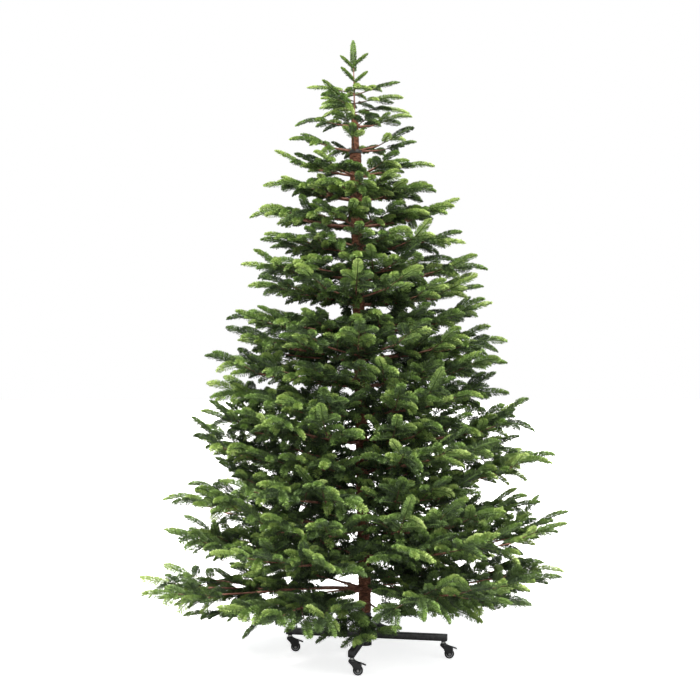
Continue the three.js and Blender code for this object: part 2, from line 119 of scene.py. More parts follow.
# ---- Fronds on a limb; a pair holds the values at the foot and at the top of the crown ----
FROND_LENGTH = (200 * MM, 330 * MM)
FROND_SPACING = (0.82, 1.4)
LOW_FROND_SPACING = 0.66
TOP_FROND_SPACING = 0.84
FIRST_FROND = (0.11, 0.2)
TOP_FIRST_FROND = 0.24
# The lowest whorl's limbs are bare over this much more of their reach.
BARE_END = 0.08
AFTER_FORK = 0.03
FIRST_PAIR = 0.35
PAIR_STAGGER = 0.3
LENGTH_VARIATION = 0.07
SIDE_FROND_LENGTH = 0.92
FROND_ANGLE = math.radians(40)
TERMINAL_SUNK = 30 * MM
FROND_PITCH = (0.32, 0.12)
TERMINAL_PITCH = 0.5
# Fronds rise from their limb by this angle, in full from this whorl up.
FROND_LIFT = (math.radians(14), math.radians(9))
LIFTED_FROM = 2
# How far fronds roll about their own line: least and most.
FROND_ROLL_LEAST = (0.03, 0.0)
FROND_ROLL_MOST = (0.52, 0.3)

# ---- A frond: its rachis and the shoots on it ----
RACHIS_RADII = (3.2 * MM, 2.0 * MM)
RACHIS_STEP = 30 * MM
RACHIS_PAST = 8 * MM
FROND_BEND = 0.10
FROND_DROOP = 0.03
SHOOT_LENGTH = (118 * MM, 148 * MM)
LONGEST_SHOOT = 0.86
SHOOT_SPACING = 88 * MM
# The way back from a right shoot to its left partner, and from that to the next pair.
TO_PARTNER, TO_NEXT_PAIR = 0.32 * SHOOT_SPACING, 0.68 * SHOOT_SPACING
FIRST_PAIR_BACK = 16 * MM
LAST_SHOOT = 8 * MM
MOST_SIDE_SHOOTS = 8
LONGER_TERMINAL = 1.08
SIDE_SHOOT_LENGTH = (0.74, 0.96)
SHORTER_FIRST_PAIR = 0.86
SHOOT_ANGLE = (math.radians(36), math.radians(56))
SHOOT_PITCH = 0.24
SHOOT_RISE = 0.05
SHOOT_TWIST = 0.4
SHOOT_BEND = 0.12
SHOOT_SAG = (0.03, 0.33)
SHOOT_STEM_RADII = (3.6 * MM, 2.8 * MM)
TRUNK_CLEARANCE = 45 * MM

# ---- Painted light: how light a shoot is painted, from 0 as shade in the crown's depth to 3 as light at its rim ----
TONES = ("deep", "dark", "green", "lit", "highlight")
LIGHTEST_SHOOT = 3
LIGHT_AT_TRUNK = 0.66
LIGHT_OUTWARDS = 1.6
LIGHT_POWER = 1.5
LIGHT_VARIATION = 1.5
LIGHT_ROUND_LEADER = 0.3
LIGHT_AT_TOP = 0.9
LIGHTER_ABOVE = 1700 * MM
TONE_PLACE = 0.6

# ---- Needles ----
NEEDLE_LENGTH = 30 * MM
NEEDLE_WIDTH = 4.6 * MM
NEEDLES_A_METRE = 1900
LEAST_NEEDLES = 24
SHORTER_AT_TOP = 0.38
# Below one, this sets the needles closer together towards a shoot's tip.
CLOSER_TO_TIP = 0.9
# Within this share of the crown's radius and between these heights, shoots have fewer and wider needles.
INNER_SHARE = 0.56
INNER_NEEDLES = 0.42
LOW_DETAIL = 420 * MM
TOP_DETAIL = 1900 * MM
GOLDEN_TURN = math.pi * (3 - math.sqrt(5))
NEEDLED_SHARE = 0.94
TIP_FROM = 0.8
NEEDLE_SPREAD = math.radians(118)
SPREAD_JITTER = 0.06
# The lean of a needle from its stem in degrees: at the foot, lost on the way, and lost at the tip.
NEEDLE_LEAN = 66
LEAN_LOST = 14
TIP_LEAN_LOST = 46
TIP_LEAN_SHARE = (0.3, 1.0)
LEAN_JITTER = 0.05
# Needles on top of a stem are shorter, and they grow and shrink again along it.
SIZE_ON_TOP = (0.74, 1.0)
SIZE_AT_FOOT = 0.82
SIZE_GROWN, GROWN_BY = 0.45, 0.4
SIZE_LOST, LOST_FROM = 0.34, 0.5
SIZE_LOST_AT_TIP = 0.24
SIZE_JITTER = 0.05
SHORT_CORNER = 0.88
# Painted shade and highlight: needles past this angle round the stem hang under and are painted a tone
# darker; needles past the next share of a shoot's length are painted a tone lighter.
SHADED_UNDERSIDE = math.radians(82)
HIGHLIGHT_FROM = 0.6

# ---- Short shoots on the inner part of each bough, painted in the darkest tone as shade ----
CORE_SPACING = 62 * MM
CORE_LENGTH = (90 * MM, 125 * MM)
CORE_SPAN = (0.11, 0.5)
CORE_CLEARANCE = 75 * MM
CORE_ANGLE = (0.5, 1.25)
CORE_PITCH = 0.5
MARKS_A_CORE = 700
CORE_MARKS_A_BOUGH = 30

# ---- Hands: bare thin limbs with a few fronds at the end ----
# The lowest boughs, which hang over the stand: direction in degrees, then height, reach and drop
# in millimetres.
LOW_BOUGHS = (
    (-114, 275, 480, 85),
    (-94, 246, 590, 85),
    (-62, 265, 360, 75),
    (-38, 320, 600, 60),
    (-146, 320, 620, 90),
    (-168, 330, 800, 110),
    (-14, 330, 720, 80),
    (50, 330, 600, 60),
    (150, 330, 620, 70),
)
# Short boughs before and behind the lower trunk: whorls, directions in degrees and reach.
COVER_WHORLS = (1, 2, 3, 4, 5)
COVER_TURNS = (-93, 88)
COVER_TURN_VARIATION = 10
COVER_REACH = (380 * MM, 480 * MM)
COVER_BELOW = 30 * MM
# How far back from its end such a bough carries each frond, and at what angle.
HAND_FRONDS = ((0, 0), (60 * MM, math.radians(48)), (100 * MM, math.radians(-48)))
HAND_BACK = 200 * MM
HAND_ROOT = 20 * MM
HAND_CLEARANCE = 100 * MM
HAND_RADII = (5.4 * MM, 3 * MM)
HAND_LENGTH = (240 * MM, 290 * MM)
HAND_MARK = 8000
MARKS_A_HAND = 60
DROP_POWER = 1.6
LOW_HANG = 0.4
LOW_ROLL = 0.2
LOW_PITCH = 0.16
LOW_LIFT = 0.2

# ---- Leader ----
LEADER_TERMINAL = 160 * MM
LEADER_RADII = (5.0 * MM, 2.6 * MM)
LEADER_OVERLAP = 20 * MM
LEADER_DENSE = 1.7
RING_DENSE = 1.5
RING_STAGGER = 13 * MM
RING_BEND = 0.05
RING_LIFT_VARIATION = 5
# Rings of single shoots, then of fronds round the leader's foot: height and length in millimetres,
# count, first direction and rise in degrees.
LEADER_RINGS = ((2834, 90, 2, 8, 42), (2908, 92, 2, 174, 40))
TOP_FRONDS = ((2690, 325, 3, 8, 10), (2734, 240, 3, -10, 8), (2774, 205, 4, 8, 14))
TOP_FROND_STAGGER = 5 * MM
TOP_FROND_MARK = 9500
MARKS_A_RING = 20
# How far those fronds vary: direction and rise in degrees, roll, and share of their length.
TOP_FROND_VARIATION = (12, 7, 0.3, 0.12)

# ---- Tubes of wood ----
# How far a tube's first and last points stand out, as a share of its radius there.
POINTED_ENDS = (0.3, 0.6)
# How the bumps move on from ring to ring, how they wind, and how tubes differ.
BUMP_PHASES = (2.399, 1.3, 1.7)

# ---- Trunk ----
POLE_FOOT = 62 * MM
POLE_RADIUS = 24 * MM
WRAP_FOOT = 214 * MM
WRAP_RADIUS = 31 * MM
WRAP_TOP_RADIUS = 29.5 * MM
TOP_POLE_RADIUS = 19 * MM
TOP_POLE_END_RADIUS = 17 * MM
POLE_TOP = 2680 * MM
COLLAR_HEIGHT = 2486 * MM
COLLAR_LENGTH = 21 * MM
# The collar's radius and height above its foot.
COLLAR_PROFILE = metres(
    (19, -1), (30.5, 0), (33, 3), (34, 5), (34, 14.5), (32.5, 16), (21, 18), (19, 21),
)
# Wound bark: the height of one turn of the strip, how deep its seams are, and its rings and sides.
LOWER_WRAP = {"band": 20 * MM, "depth": 2.6 * MM, "ring_step": 3.4 * MM, "sides": 40}
UPPER_WRAP = {"band": 15 * MM, "depth": 2.2 * MM, "ring_step": 3 * MM, "sides": 28}
WRAP_THICKER = (0.4 * MM, 0.8 * MM)
# The relief fades over this many rings at each end of a wrap, and bands are rounded by this power.
FADED_RINGS = 3
BAND_POWER = 0.45
# Fineness and strength of the noise that moves the seams and of the two that make lumps.
SEAM_NOISE = (14, 0.35)
LUMP_NOISES = ((55, 0.5), (140, 0.35))
LUMP_SHARE = 0.55
NOISE_RADIUS = 80 * MM

# ---- Stand ----
ARM_SIDE = 32 * MM
ARM_BOTTOM = 87 * MM
ARM_TURN = math.radians(-10.5)
CASTOR_OFFSET = 386 * MM
ARM_PAST_CASTOR = 18 * MM
ARM_SUNK = 3 * MM
# The sections at an arm's end, in millimetres: how much narrower than the tube, the radius of the
# corners, and how far back from the end. They make the lip and the plug inside it.
ARM_END = ((0, 4, 1), (1.2, 3.6, 0), (5, 2.2, 0), (5, 2.2, 2.5), (9, 2, 1.2))
SOCKET_RADIUS = 30 * MM
BEAD_RADIUS = 2.4 * MM
BEAD_CORNER = 5 * MM
BEAD_OUT = 1.5 * MM
BEAD_RELIEF = 0.25
SCREW_HEIGHT = 188 * MM
SCREW_REACH = 52 * MM
SCREW_SUNK = 2 * MM
# A thread's radius, pitch and depth.
SCREW_THREAD = (4 * MM, 1.25 * MM, 0.5 * MM)
SCREW_TURN = math.radians(-25)
# Profiles about an upright or lying axis: radius and height, in millimetres.
ARM_BUSH = metres((7, 88), (13, 88), (13, 85.4), (11.5, 83.6), (7, 83.6))
SOCKET_PROFILE = metres(
    (24.4, 50), (29, 50), (30, 51), (30, 200), (31.6, 202), (31.6, 206.8), (30.4, 208), (24.4, 208),
)
SOCKET_FLOOR = metres((0.5, 52), (24.4, 52), (24.4, 55), (0.5, 55))
SCREW_NUT = metres((4.2, 29), (8, 29), (8, 35), (7, 36), (4.2, 36))
SCREW_HEAD = metres((0.3, 51), (6.5, 51), (7, 52), (6, 57), (3, 59), (0.3, 59.2))
SCREW_WING = metres((2.48, -3), (9.3, -5), (11.78, 1), (10.54, 7), (7.44, 8), (3.1, 4))
WING_THICKNESS = 3 * MM
WING_OUT = 2 * MM

# ---- Castors, made about the swivel's axis and trailing along X ----
WHEEL_RADIUS = 24 * MM
TRAIL = 28 * MM
STEM_FOOT = 74 * MM
STEM_PAST_ARM = 18 * MM
STEM_THREAD = (5.4 * MM, 1.5 * MM, 0.6 * MM)
STEM_NUT = metres((5, 76.6), (10.2, 76.6), (10.8, 77.4), (10.8, 81.6), (10.2, 82.4), (5, 82.4))
STEM_WASHER = metres((5, 75.2), (12.5, 75.2), (12.5, 76.4), (5, 76.4))
SWIVEL_DISC = metres(
    (0.4, 58), (13, 58), (15.6, 60), (16.8, 63), (16.8, 69), (15.4, 72.4), (12, 74.4), (7, 75), (0.4, 75),
)
# The side view of a cheek: distance behind the swivel's axis and height.
CHEEK_OUTLINE = metres(
    (-13, 70), (-13, 60), (-4, 52), (4, 42), (14, 22), (24, 13), (34, 15),
    (40, 24), (43, 38), (47, 50), (44, 58), (34, 60), (24, 64), (14, 70),
)
CHEEK_THICKNESS = 3.5 * MM
CHEEK_STARTS = (14.8 * MM, -11.3 * MM)
SOFT_EDGE = 0.8 * MM
# The hood's section over the wheel: clearance above the tread and distance sideways.
HOOD_SECTION = metres((3, -11.6), (6, -11.6), (6.8, 0), (6, 11.6), (3, 11.6))
HOOD_STEPS = 18
HOOD_START, HOOD_SPAN = 56, 94
PEDAL_OUTLINE = metres((-15, -10), (11, -11.5), (14, 0), (11, 11.5), (-15, 10))
PEDAL_THICKNESS = 4.4 * MM
PEDAL_TILT = 0.38
PEDAL_PLACE = (54 * MM, 0, 53 * MM)
PEDAL_SUNK = 2.8 * MM
PEDAL_PIN = ((43, -15, 54), (43, -6, 54), (43, 6, 54), (43, 15, 54))
PEDAL_PIN_RADIUS = 3.4 * MM
# The ribs across the pedal: where they lie along it, and the points across it.
RIBS_ALONG = (-3, 1, 5, 9)
RIB_ACROSS = (-7.5, -3, 0, 3, 7.5)
RIB_RADIUS = 0.9 * MM
RIB_LIFT = 1.8 * MM
AXLE_ROD = metres((3.6, -15.5), (3.6, 15.5))
AXLE_NUT = metres((0.4, 15), (6.4, 15), (6.4, 18), (5.6, 19), (0.4, 19))
AXLE_HEAD = metres((0.4, -15), (6, -15), (5.4, -17.4), (3, -18.6), (0.4, -18.8))
# Half a section of the tread and of the hub; the other half mirrors it.
TREAD_HALF = metres((16.6, -9), (20, -10), (21.8, -9.6), (23.2, -8), (23.85, -5.5))
TREAD_CROWN = ((WHEEL_RADIUS, 0),)
HUB_HALF = metres(
    (3.9, -10), (7, -10), (7.4, -9.4), (7.8, -6), (13.4, -5.8), (14, -8.6), (15.6, -9.2), (16.5, -8.6),
)
SPOKES = 5
SPOKE_OUTLINE = metres((7.2, -1.5), (14, -1.1), (14, 1.1), (7.2, 1.5))
SPOKE_LIFTS = (5.4 * MM, -8.2 * MM)
SPOKE_THICKNESS = 2.8 * MM
SPOKE_EDGE = 0.5 * MM

# ---- Colours, as shown on a screen ----
# The needles' tones are lit and shaded copies of one green, from painted shade to painted highlight.
NEEDLE_COLOURS = ((57, 73, 45), (85, 106, 59), (113, 139, 72), (142, 163, 90), (168, 186, 114))
WRAP_COLOURS = ((46, 28, 20), (106, 67, 48), (158, 110, 84))
BOUGH_COLOURS = ((80, 54, 46), (146, 102, 86), (186, 142, 122))
TWIG_COLOUR = (96, 76, 60)
SHOOT_STEM_COLOUR = (80, 102, 52)
DUST_COLOUR = (168, 164, 156)
# Hard finishes: colours of the base, its clouds and its rubbed edges, then the smoothest and the
# roughest spots, the grain's fineness and depth, the wear, the dust and how metallic it is.
HARD_FINISHES = {
    "black_painted_steel": (
        ((17, 17, 18), (23, 23, 24), (74, 74, 76)), (0.26, 0.42), 700.0, 0.15 * MM, 0.7, 0.05,
    ),
    "dark_steel": (((44, 44, 42), (60, 58, 54), (112, 110, 106)), (0.3, 0.5), 600.0, 0.15 * MM, 0.8),
    "plated_zinc": (
        ((196, 196, 192), (164, 164, 162), (196, 196, 192)), (0.24, 0.4), 500.0, 0.05 * MM, 0.0, 0.0, 1.0,
    ),
    "black_moulded_plastic": (
        ((14, 14, 15), (20, 20, 21), (60, 60, 62)), (0.34, 0.5), 1100.0, 0.08 * MM, 0.6, 0.05,
    ),
    "pedal_plastic": (
        ((20, 20, 21), (30, 30, 31), (120, 120, 122)), (0.3, 0.46), 900.0, 0.08 * MM, 1.0, 0.08,
    ),
    "dark_rubber": (((24, 24, 24), (36, 35, 34), (84, 83, 80)), (0.6, 0.85), 800.0, 0.12 * MM, 0.5, 0.08),
    "grey_hub_plastic": (
        ((150, 151, 153), (128, 129, 131), (190, 190, 190)), (0.34, 0.5), 900.0, 0.06 * MM, 0.5, 0.1,
    ),
}

# ---- Camera, light and floor ----
CAMERA_PLACE = (-0.0349, -5.9786, 1.512)
CAMERA_LENS = 62.2
# Colour and strength of the surround, as the camera sees it and as it lights the tree.
SURROUND_SHOWN = ((1, 1, 1, 1), 1.0)
SURROUND_LIGHT = ((0.95, 0.98, 1, 1), 0.75)
# Each sun: the direction of its light, its strength, its spread in degrees and its colour.
SUNS = {
    "key": ((0.3, 0.7, -1.6), 9.0, 30, (1, 0.98, 0.94)),
    "fill": ((-0.6, 0.9, -0.5), 1.6, 60, (1, 1, 1)),
}
FLOOR_REACH = 30
FLOOR_COLOUR = (0.95, 0.95, 0.95, 1)
FLOOR_GLOW = 0.7
FLOOR_LIGHT_BACK = (0.3, 0.3, 0.3, 1)

# The trunk's axis meets the floor in the middle of the four castors.
SWIVELS = [j for j in frame["joints"] if j["name"].endswith("_swivel")]
FOOT = np.mean([j["pos_m"] for j in SWIVELS], axis=0) * (1, 1, 0)


# ---- Numbers ----

def rand(i, j, k):
    """A repeatable number from 0 to 1 for three whole numbers; the last tells one use from another."""
    wave = math.sin(i * 12.9898 + j * 78.233 + k * 37.719) * 43758.5453
    return wave - math.floor(wave)


def swing(i, j, k):
    """A repeatable number from -1 to 1."""
    return 2 * rand(i, j, k) - 1


def lerp(pair, share):
    return pair[0] + (pair[1] - pair[0]) * share


def held(value):
    """A value kept between 0 and 1."""
    return min(1, max(0, value))


def unit(v):
    return v / np.linalg.norm(v)


def units(rows):
    """Every row of an array, at length one."""
    return rows / np.linalg.norm(rows, axis=1)[:, None]


def flat_heading(angle):
    return np.array((math.cos(angle), math.sin(angle), 0))


# ---- The crown's rule ----

def whorl_height(whorl):
    down = WHORLS - 1 - whorl
    return TOP_WHORL - TOP_SPACING * down - SPACING_GROWTH * down * (down - 1)


def axis_x(height):
    return -height * math.tan(LEAN)


def axis_point(height):
    """A point on the trunk's leaning axis."""
    return FOOT + (axis_x(height), 0, height)


def axis_distance(point):
    return math.hypot(point[0] - FOOT[0] - axis_x(point[2]), point[1] - FOOT[1])


def crown_radius(height):
    below = held((HEIGHT - height) / (HEIGHT - CROWN_FOOT))
    return CROWN_TIP_RADIUS + (CROWN_RADIUS - CROWN_TIP_RADIUS) * below**CROWN_POWER


def rim_share(point):
    return axis_distance(point) / crown_radius(point[2])


def whorl_reach(whorl):
    return crown_radius(whorl_height(whorl) + TIP_LIFT)


def whorl_surface(whorl, distance):
    """How high a whorl's surface stands over its foot, at a distance from the trunk."""
    rise = FOOT_RISE + (TOP_RISE - FOOT_RISE) * whorl / (WHORLS - 1)
    return rise * distance + TIP_RISE * distance * distance / whorl_reach(whorl)


def boughs_in(whorl):
    return LOWER_BOUGHS if whorl < LOWER_WHORLS else UPPER_BOUGHS


def fillers_in(whorl):
    if whorl >= TOP_FROM:
        return FILLERS_TOP
    return FILLERS_LOWER if whorl < LOWER_WHORLS else FILLERS_UPPER


def tier_of(whorl):
    if whorl < MIDDLE_TIER_FROM:
        return 0
    return 1 if whorl < UPPER_TIER_FROM else 2


def frond_length(reach):
    return lerp(FROND_LENGTH, min(1, reach / CROWN_RADIUS))


def limb_end(reach):
    return 1 - (frond_length(reach) - TERMINAL_SUNK) / reach


def higher_share(whorl):
    """How far a whorl has the flatter growth of the crown's upper part."""
    return held((whorl - FLATTER_FROM) / FLATTER_OVER)


def limb_point(whorl, mark, reach, limb, share):
    """A point of a limb's middle line, its root on the trunk's axis and X outwards."""
    past = max(0, share - FORK)
    splay = LIMB_SPLAY_LOWER if whorl < LOWER_WHORLS else LIMB_SPLAY_UPPER
    x = reach * (share - SIDE_LIMB_SHORT * abs(limb) * past)
    y = reach * limb * splay * past
    bow = reach * math.sin(math.pi * min(1, share))
    y += WANDER * bow * swing(whorl, mark, 11)
    out = math.hypot(x, y)
    z = whorl_surface(whorl, out) + WANDER_RISE * bow * swing(whorl, mark, 12)
    bent = BENT_BOUGHS.get((whorl, mark), 0) * out / reach
    z -= out * (EASED_RISE * higher_share(whorl) + OWN_RISE * swing(whorl, mark, 13) + bent)
    return np.array((x, y, z))


def limb_ahead(whorl, mark, reach, limb, share):
    step = 0.01
    here = limb_point(whorl, mark, reach, limb, share - step)
    return unit(limb_point(whorl, mark, reach, limb, share + step) - here)


def side_direction(ahead, angle, pitch):
    """A direction turned sideways from another and raised."""
    flat = math.atan2(ahead[1], ahead[0]) + angle
    rise = math.atan2(ahead[2], math.hypot(ahead[0], ahead[1])) + pitch
    level = math.cos(rise)
    return np.array((math.cos(flat) * level, math.sin(flat) * level, math.sin(rise)))


def turned_about(v, axis, angle):
    c, s = math.cos(angle), math.sin(angle)
    return v * c + np.cross(axis, v) * s + axis * np.dot(axis, v) * (1 - c)


def above_of(heading):
    """The direction square to a heading, on its upper side."""
    return unit(np.cross(heading, np.cross((0, 0, 1), heading)))


def onto_trunk(whorl, direction):
    """The turn and the shift that move a bough's own frame to its place on the trunk."""
    c, s = math.cos(direction), math.sin(direction)
    turn = np.array(((c, -s, 0), (s, c, 0), (0, 0, 1)))
    return turn, axis_point(whorl_height(whorl))


# ---- What grows: tubes of wood, and shoots with needles ----

class Growth:
    """Collects the tubes and shoots of the crown, each with its tier."""

    def __init__(self):
        self.tubes = []
        self.shoots = []

    def tube(self, kind, tier, points, radii, sides):
        self.tubes.append((kind, tier, np.array(points), radii, sides))

    def shoot(self, tier, root, ahead, above, length, curve, tone, dense):
        self.shoots.append((tier, root, ahead, above, length, curve, tone, dense))


def painted_light_tone(point, mark, level):
    # Painted light: darker tones as shade towards the trunk, lighter tones as light towards the rim, round
    # the leader and near the top, with a random swing.
    high = max(0, point[2] - LIGHTER_ABOVE) / (HEIGHT - LIGHTER_ABOVE)
    light = LIGHT_AT_TRUNK + LIGHT_OUTWARDS * rim_share(point)**LIGHT_POWER
    light += LIGHT_VARIATION * swing(int(point[2] * 1000), mark, 21)
    light += LIGHT_ROUND_LEADER * level + LIGHT_AT_TOP * high
    return min(LIGHTEST_SHOOT, max(0, int(light)))


def shoot_spots(stalk):
    """How far out a frond carries its shoots and on which side: one at its end, then pairs back from it."""
    spots = [(stalk, 0)]
    distance = stalk - FIRST_PAIR_BACK
    while distance > LAST_SHOOT and len(spots) <= MOST_SIDE_SHOOTS:
        sign = 1 if len(spots) % 2 else -1
        spots.append((distance, sign))
        distance -= TO_PARTNER if sign == 1 else TO_NEXT_PAIR
    return spots


def grow_frond(growth, tier, root, ahead, roll, length, mark, level=0, hang=1.0):
    """A rachis with a terminal shoot and pairs of side shoots."""
    side = turned_about(unit(np.cross((0, 0, 1), ahead)), ahead, roll)
    above = np.cross(ahead, side)
    longer = held((length - FROND_LENGTH[0]) / (FROND_LENGTH[1] - FROND_LENGTH[0]))
    shoot = min(lerp(SHOOT_LENGTH, longer), LONGEST_SHOOT * length)
    stalk = length - shoot
    droop = FROND_BEND * swing(mark, int(length * 1e4), 31) - FROND_DROOP

    def at(distance):
        share = distance / length
        return root + ahead * distance + above * droop * length * share * share

    steps = max(2, int(stalk / RACHIS_STEP) + 1)
    line = [at(d) for d in np.linspace(0, stalk + RACHIS_PAST, steps + 1)]
    growth.tube("twig", tier, line, RACHIS_RADII, 4)
    heading = unit(at(stalk + 10 * MM) - at(stalk))
    for place, (distance, sign) in enumerate(shoot_spots(stalk)):
        seed = mark * 10 + place
        direction = turned_about(heading, above, lerp(SHOOT_ANGLE, rand(seed, 3, 41)) * sign)
        pitch = SHOOT_PITCH * swing(seed, 5, 42)
        direction = unit(direction + above * pitch + np.array((0, 0, SHOOT_RISE)))
        own = shoot * (lerp(SIDE_SHOOT_LENGTH, rand(seed, 7, 43)) if sign else LONGER_TERMINAL)
        if place in (1, 2):
            own *= SHORTER_FIRST_PAIR
        start = at(distance)
        if axis_distance(start + direction * own * 0.5) < TRUNK_CLEARANCE:
            continue
        up = unit(above + SHOOT_TWIST * side * swing(seed, 9, 44))
        sag = hang * lerp(SHOOT_SAG, rand(seed, 13, 46))
        curve = above * SHOOT_BEND * swing(seed, 11, 45) - np.array((0, 0, sag))
        tone = painted_light_tone(start + direction * own * TONE_PLACE, seed, level)
        inner = rim_share(start) < INNER_SHARE and LOW_DETAIL < start[2] < TOP_DETAIL
        growth.shoot(tier, start, direction, up, own, curve, tone, INNER_NEEDLES if inner else 1)


def frond_spacing(whorl):
    if whorl < LOW_WHORLS:
        return LOW_FROND_SPACING
    return TOP_FROND_SPACING if whorl >= TOP_FROM else lerp(FROND_SPACING, higher_share(whorl))


def frond_spots(whorl, limb, reach):
    """Where a limb carries fronds and at what angle: one at its end, then pairs back to the trunk."""
    end = limb_end(reach)
    step = frond_spacing(whorl) * frond_length(reach) / reach
    first = TOP_FIRST_FROND if whorl >= TOP_FROM else lerp(FIRST_FROND, higher_share(whorl))
    if whorl == 0:
        first += BARE_END
    if limb:
        first = FORK + AFTER_FORK
    spots = [(end, 0)]
    share = end - step * FIRST_PAIR
    while share > first:
        spots.append((share, FROND_ANGLE))
        spots.append((share - step * PAIR_STAGGER, -FROND_ANGLE))
        share -= step
    return spots


def wanted_fronds(whorl, mark_base, limb, reach):
    """Root, direction, roll, length and mark of every frond on one limb."""
    higher = higher_share(whorl)
    length = frond_length(reach)
    rolls = (lerp(FROND_ROLL_LEAST, higher), lerp(FROND_ROLL_MOST, higher))
    for place, (share, angle) in enumerate(frond_spots(whorl, limb, reach)):
        mark = (mark_base * 3 + limb + 1) * MARKS_A_LIMB + place
        pitch = lerp(FROND_PITCH, higher) * swing(whorl, mark, 3) * (1 if place else TERMINAL_PITCH)
        pitch += lerp(FROND_LIFT, higher) * min(1, whorl / LIFTED_FROM)
        full = SIDE_FROND_LENGTH * length if place else length
        own = full * (1 - LENGTH_VARIATION * rand(whorl, mark, 2))
        roll = lerp(rolls, rand(whorl, mark, 4)) * (1 if place % 2 else -1)
        ahead = side_direction(limb_ahead(whorl, mark_base, reach, limb, share), angle, pitch)
        root = limb_point(whorl, mark_base, reach, limb, share)
        if place == 0:
            root = root - ahead * TERMINAL_SUNK
        yield root, ahead, roll, own, mark


def grow_bough(growth, whorl, mark_base, direction, reach):
    turn, base = onto_trunk(whorl, direction)
    tier = tier_of(whorl)
    end = limb_end(reach)
    trunk_radius = WRAP_RADIUS if base[2] < COLLAR_HEIGHT else TOP_POLE_RADIUS
    thinned = SHORTEST_THINNED + (1 - SHORTEST_THINNED) * min(1, reach / CROWN_RADIUS)
    hang = LOW_HANG if whorl < LOW_WHORLS else 1
    for limb in (0,) if whorl >= SINGLE_LIMB_FROM else (0, -1, 1):
        start = FORK if limb else (trunk_radius - ROOT_SUNK) / reach
        steps = max(4, int((end - start) * reach / LIMB_STEP))
        shares = np.linspace(start, end, steps + 1)
        line = [base + turn @ limb_point(whorl, mark_base, reach, limb, s) for s in shares]
        radii, sides = SIDE_LIMB if limb else MAIN_LIMB
        growth.tube("bough", tier, line, (radii[0] * thinned, radii[1] * thinned), sides)
        for root, ahead, roll, own, mark in wanted_fronds(whorl, mark_base, limb, reach):
            seed = whorl * MARKS_A_WHORL + mark
            grow_frond(growth, tier, base + turn @ root, turn @ ahead, roll, own, seed, hang=hang)
    if whorl < TOP_FROM:
        grow_core(growth, whorl, mark_base, turn, base, reach)


def grow_core(growth, whorl, mark_base, turn, base, reach):
    """Short shoots along the inner part of a bough, painted in the darkest tone as shade, which close the
    view through the crown.
    """
    share = BARE_END + CORE_SPAN[0] if whorl == 0 else max(CORE_SPAN[0], CORE_CLEARANCE / reach)
    order = 0
    while share < CORE_SPAN[1]:
        seed = whorl * MARKS_A_CORE + mark_base * CORE_MARKS_A_BOUGH + order
        ahead = limb_ahead(whorl, mark_base, reach, 0, share)
        angle = lerp(CORE_ANGLE, rand(seed, 1, 51)) * (1 if order % 2 else -1)
        own = lerp(CORE_LENGTH, rand(seed, 2, 52))
        heading = turn @ side_direction(ahead, angle, CORE_PITCH * swing(seed, 3, 53))
        root = base + turn @ limb_point(whorl, mark_base, reach, 0, share)
        curve = np.array((0, 0, -lerp(SHOOT_SAG, rand(seed, 4, 54))))
        # Tone 0: painted shade inside the crown.
        growth.shoot(tier_of(whorl), root, heading, above_of(heading), own, curve, 0, INNER_NEEDLES)
        share += CORE_SPACING / reach
        order += 1


def grow_whorl(growth, whorl):
    count = boughs_in(whorl)
    share = 2 * math.pi / count
    for bough in range(count):
        direction = share * (bough + ((whorl + 1) % 2) / 2)
        reach = whorl_reach(whorl) * (1 + REACH_VARIATION * swing(whorl, bough, 1))
        grow_bough(growth, whorl, bough, direction, reach)
        for number, between in enumerate(fillers_in(whorl)):
            mark = FILLER_MARK * (number + 1) + bough
            own = whorl_reach(whorl) * lerp(FILLER_REACH, rand(whorl, mark, 1))
            grow_bough(growth, whorl, mark, direction + share * between, own)


def grow_hand(growth, tier, number, turn, height, reach, drop):
    """A bare thin limb with a hand of fronds at its end."""
    out = flat_heading(math.radians(turn))
    base = axis_point(height)

    def at(share):
        return base + out * reach * share - np.array((0, 0, drop * share**DROP_POWER))

    end = 1 - HAND_BACK / reach
    shares = np.linspace(HAND_ROOT / reach, end, 9)
    growth.tube("bough", tier, [at(s) for s in shares], HAND_RADII, 6)
    for place, (back, angle) in enumerate(HAND_FRONDS):
        mark = HAND_MARK + number * MARKS_A_HAND + place
        share = end - back / reach
        if share * reach < HAND_CLEARANCE:
            continue
        pitch = LOW_PITCH * swing(mark, 2, 3) + LOW_LIFT
        ahead = side_direction(unit(at(share + 0.02) - at(share)), angle, pitch)
        own = lerp(HAND_LENGTH, rand(mark, 1, 2))
        grow_frond(growth, tier, at(share), ahead, LOW_ROLL * swing(mark, 2, 4), own, mark, hang=LOW_HANG)


def grow_low_boughs(growth):
    """The lowest boughs over the stand, and the short ones before and behind the lower trunk."""
    for number, (turn, height, reach, drop) in enumerate(LOW_BOUGHS):
        grow_hand(growth, 0, number, turn, height * MM, reach * MM, drop * MM)
    number = len(LOW_BOUGHS)
    for whorl in COVER_WHORLS:
        for turn in COVER_TURNS:
            own_turn = turn + COVER_TURN_VARIATION * swing(whorl, turn, 61)
            reach = lerp(COVER_REACH, rand(whorl, turn, 62))
            height = whorl_height(whorl) - COVER_BELOW
            grow_hand(growth, tier_of(whorl), number, own_turn, height, reach, 0)
            number += 1


def grow_leader(growth):
    """The stem above the pole with its terminal shoot."""
    upward = np.array((-math.sin(LEAN), 0, math.cos(LEAN)))
    end = HEIGHT - LEADER_TERMINAL
    heights = np.linspace(POLE_TOP - ROOT_SUNK, end + LEADER_OVERLAP, 12)
    growth.tube("bough", 2, [axis_point(h) for h in heights], LEADER_RADII, 6)
    side = np.array((0.0, 1.0, 0))
    growth.shoot(2, axis_point(end), upward, side, LEADER_TERMINAL, 0 * upward, 2, LEADER_DENSE)


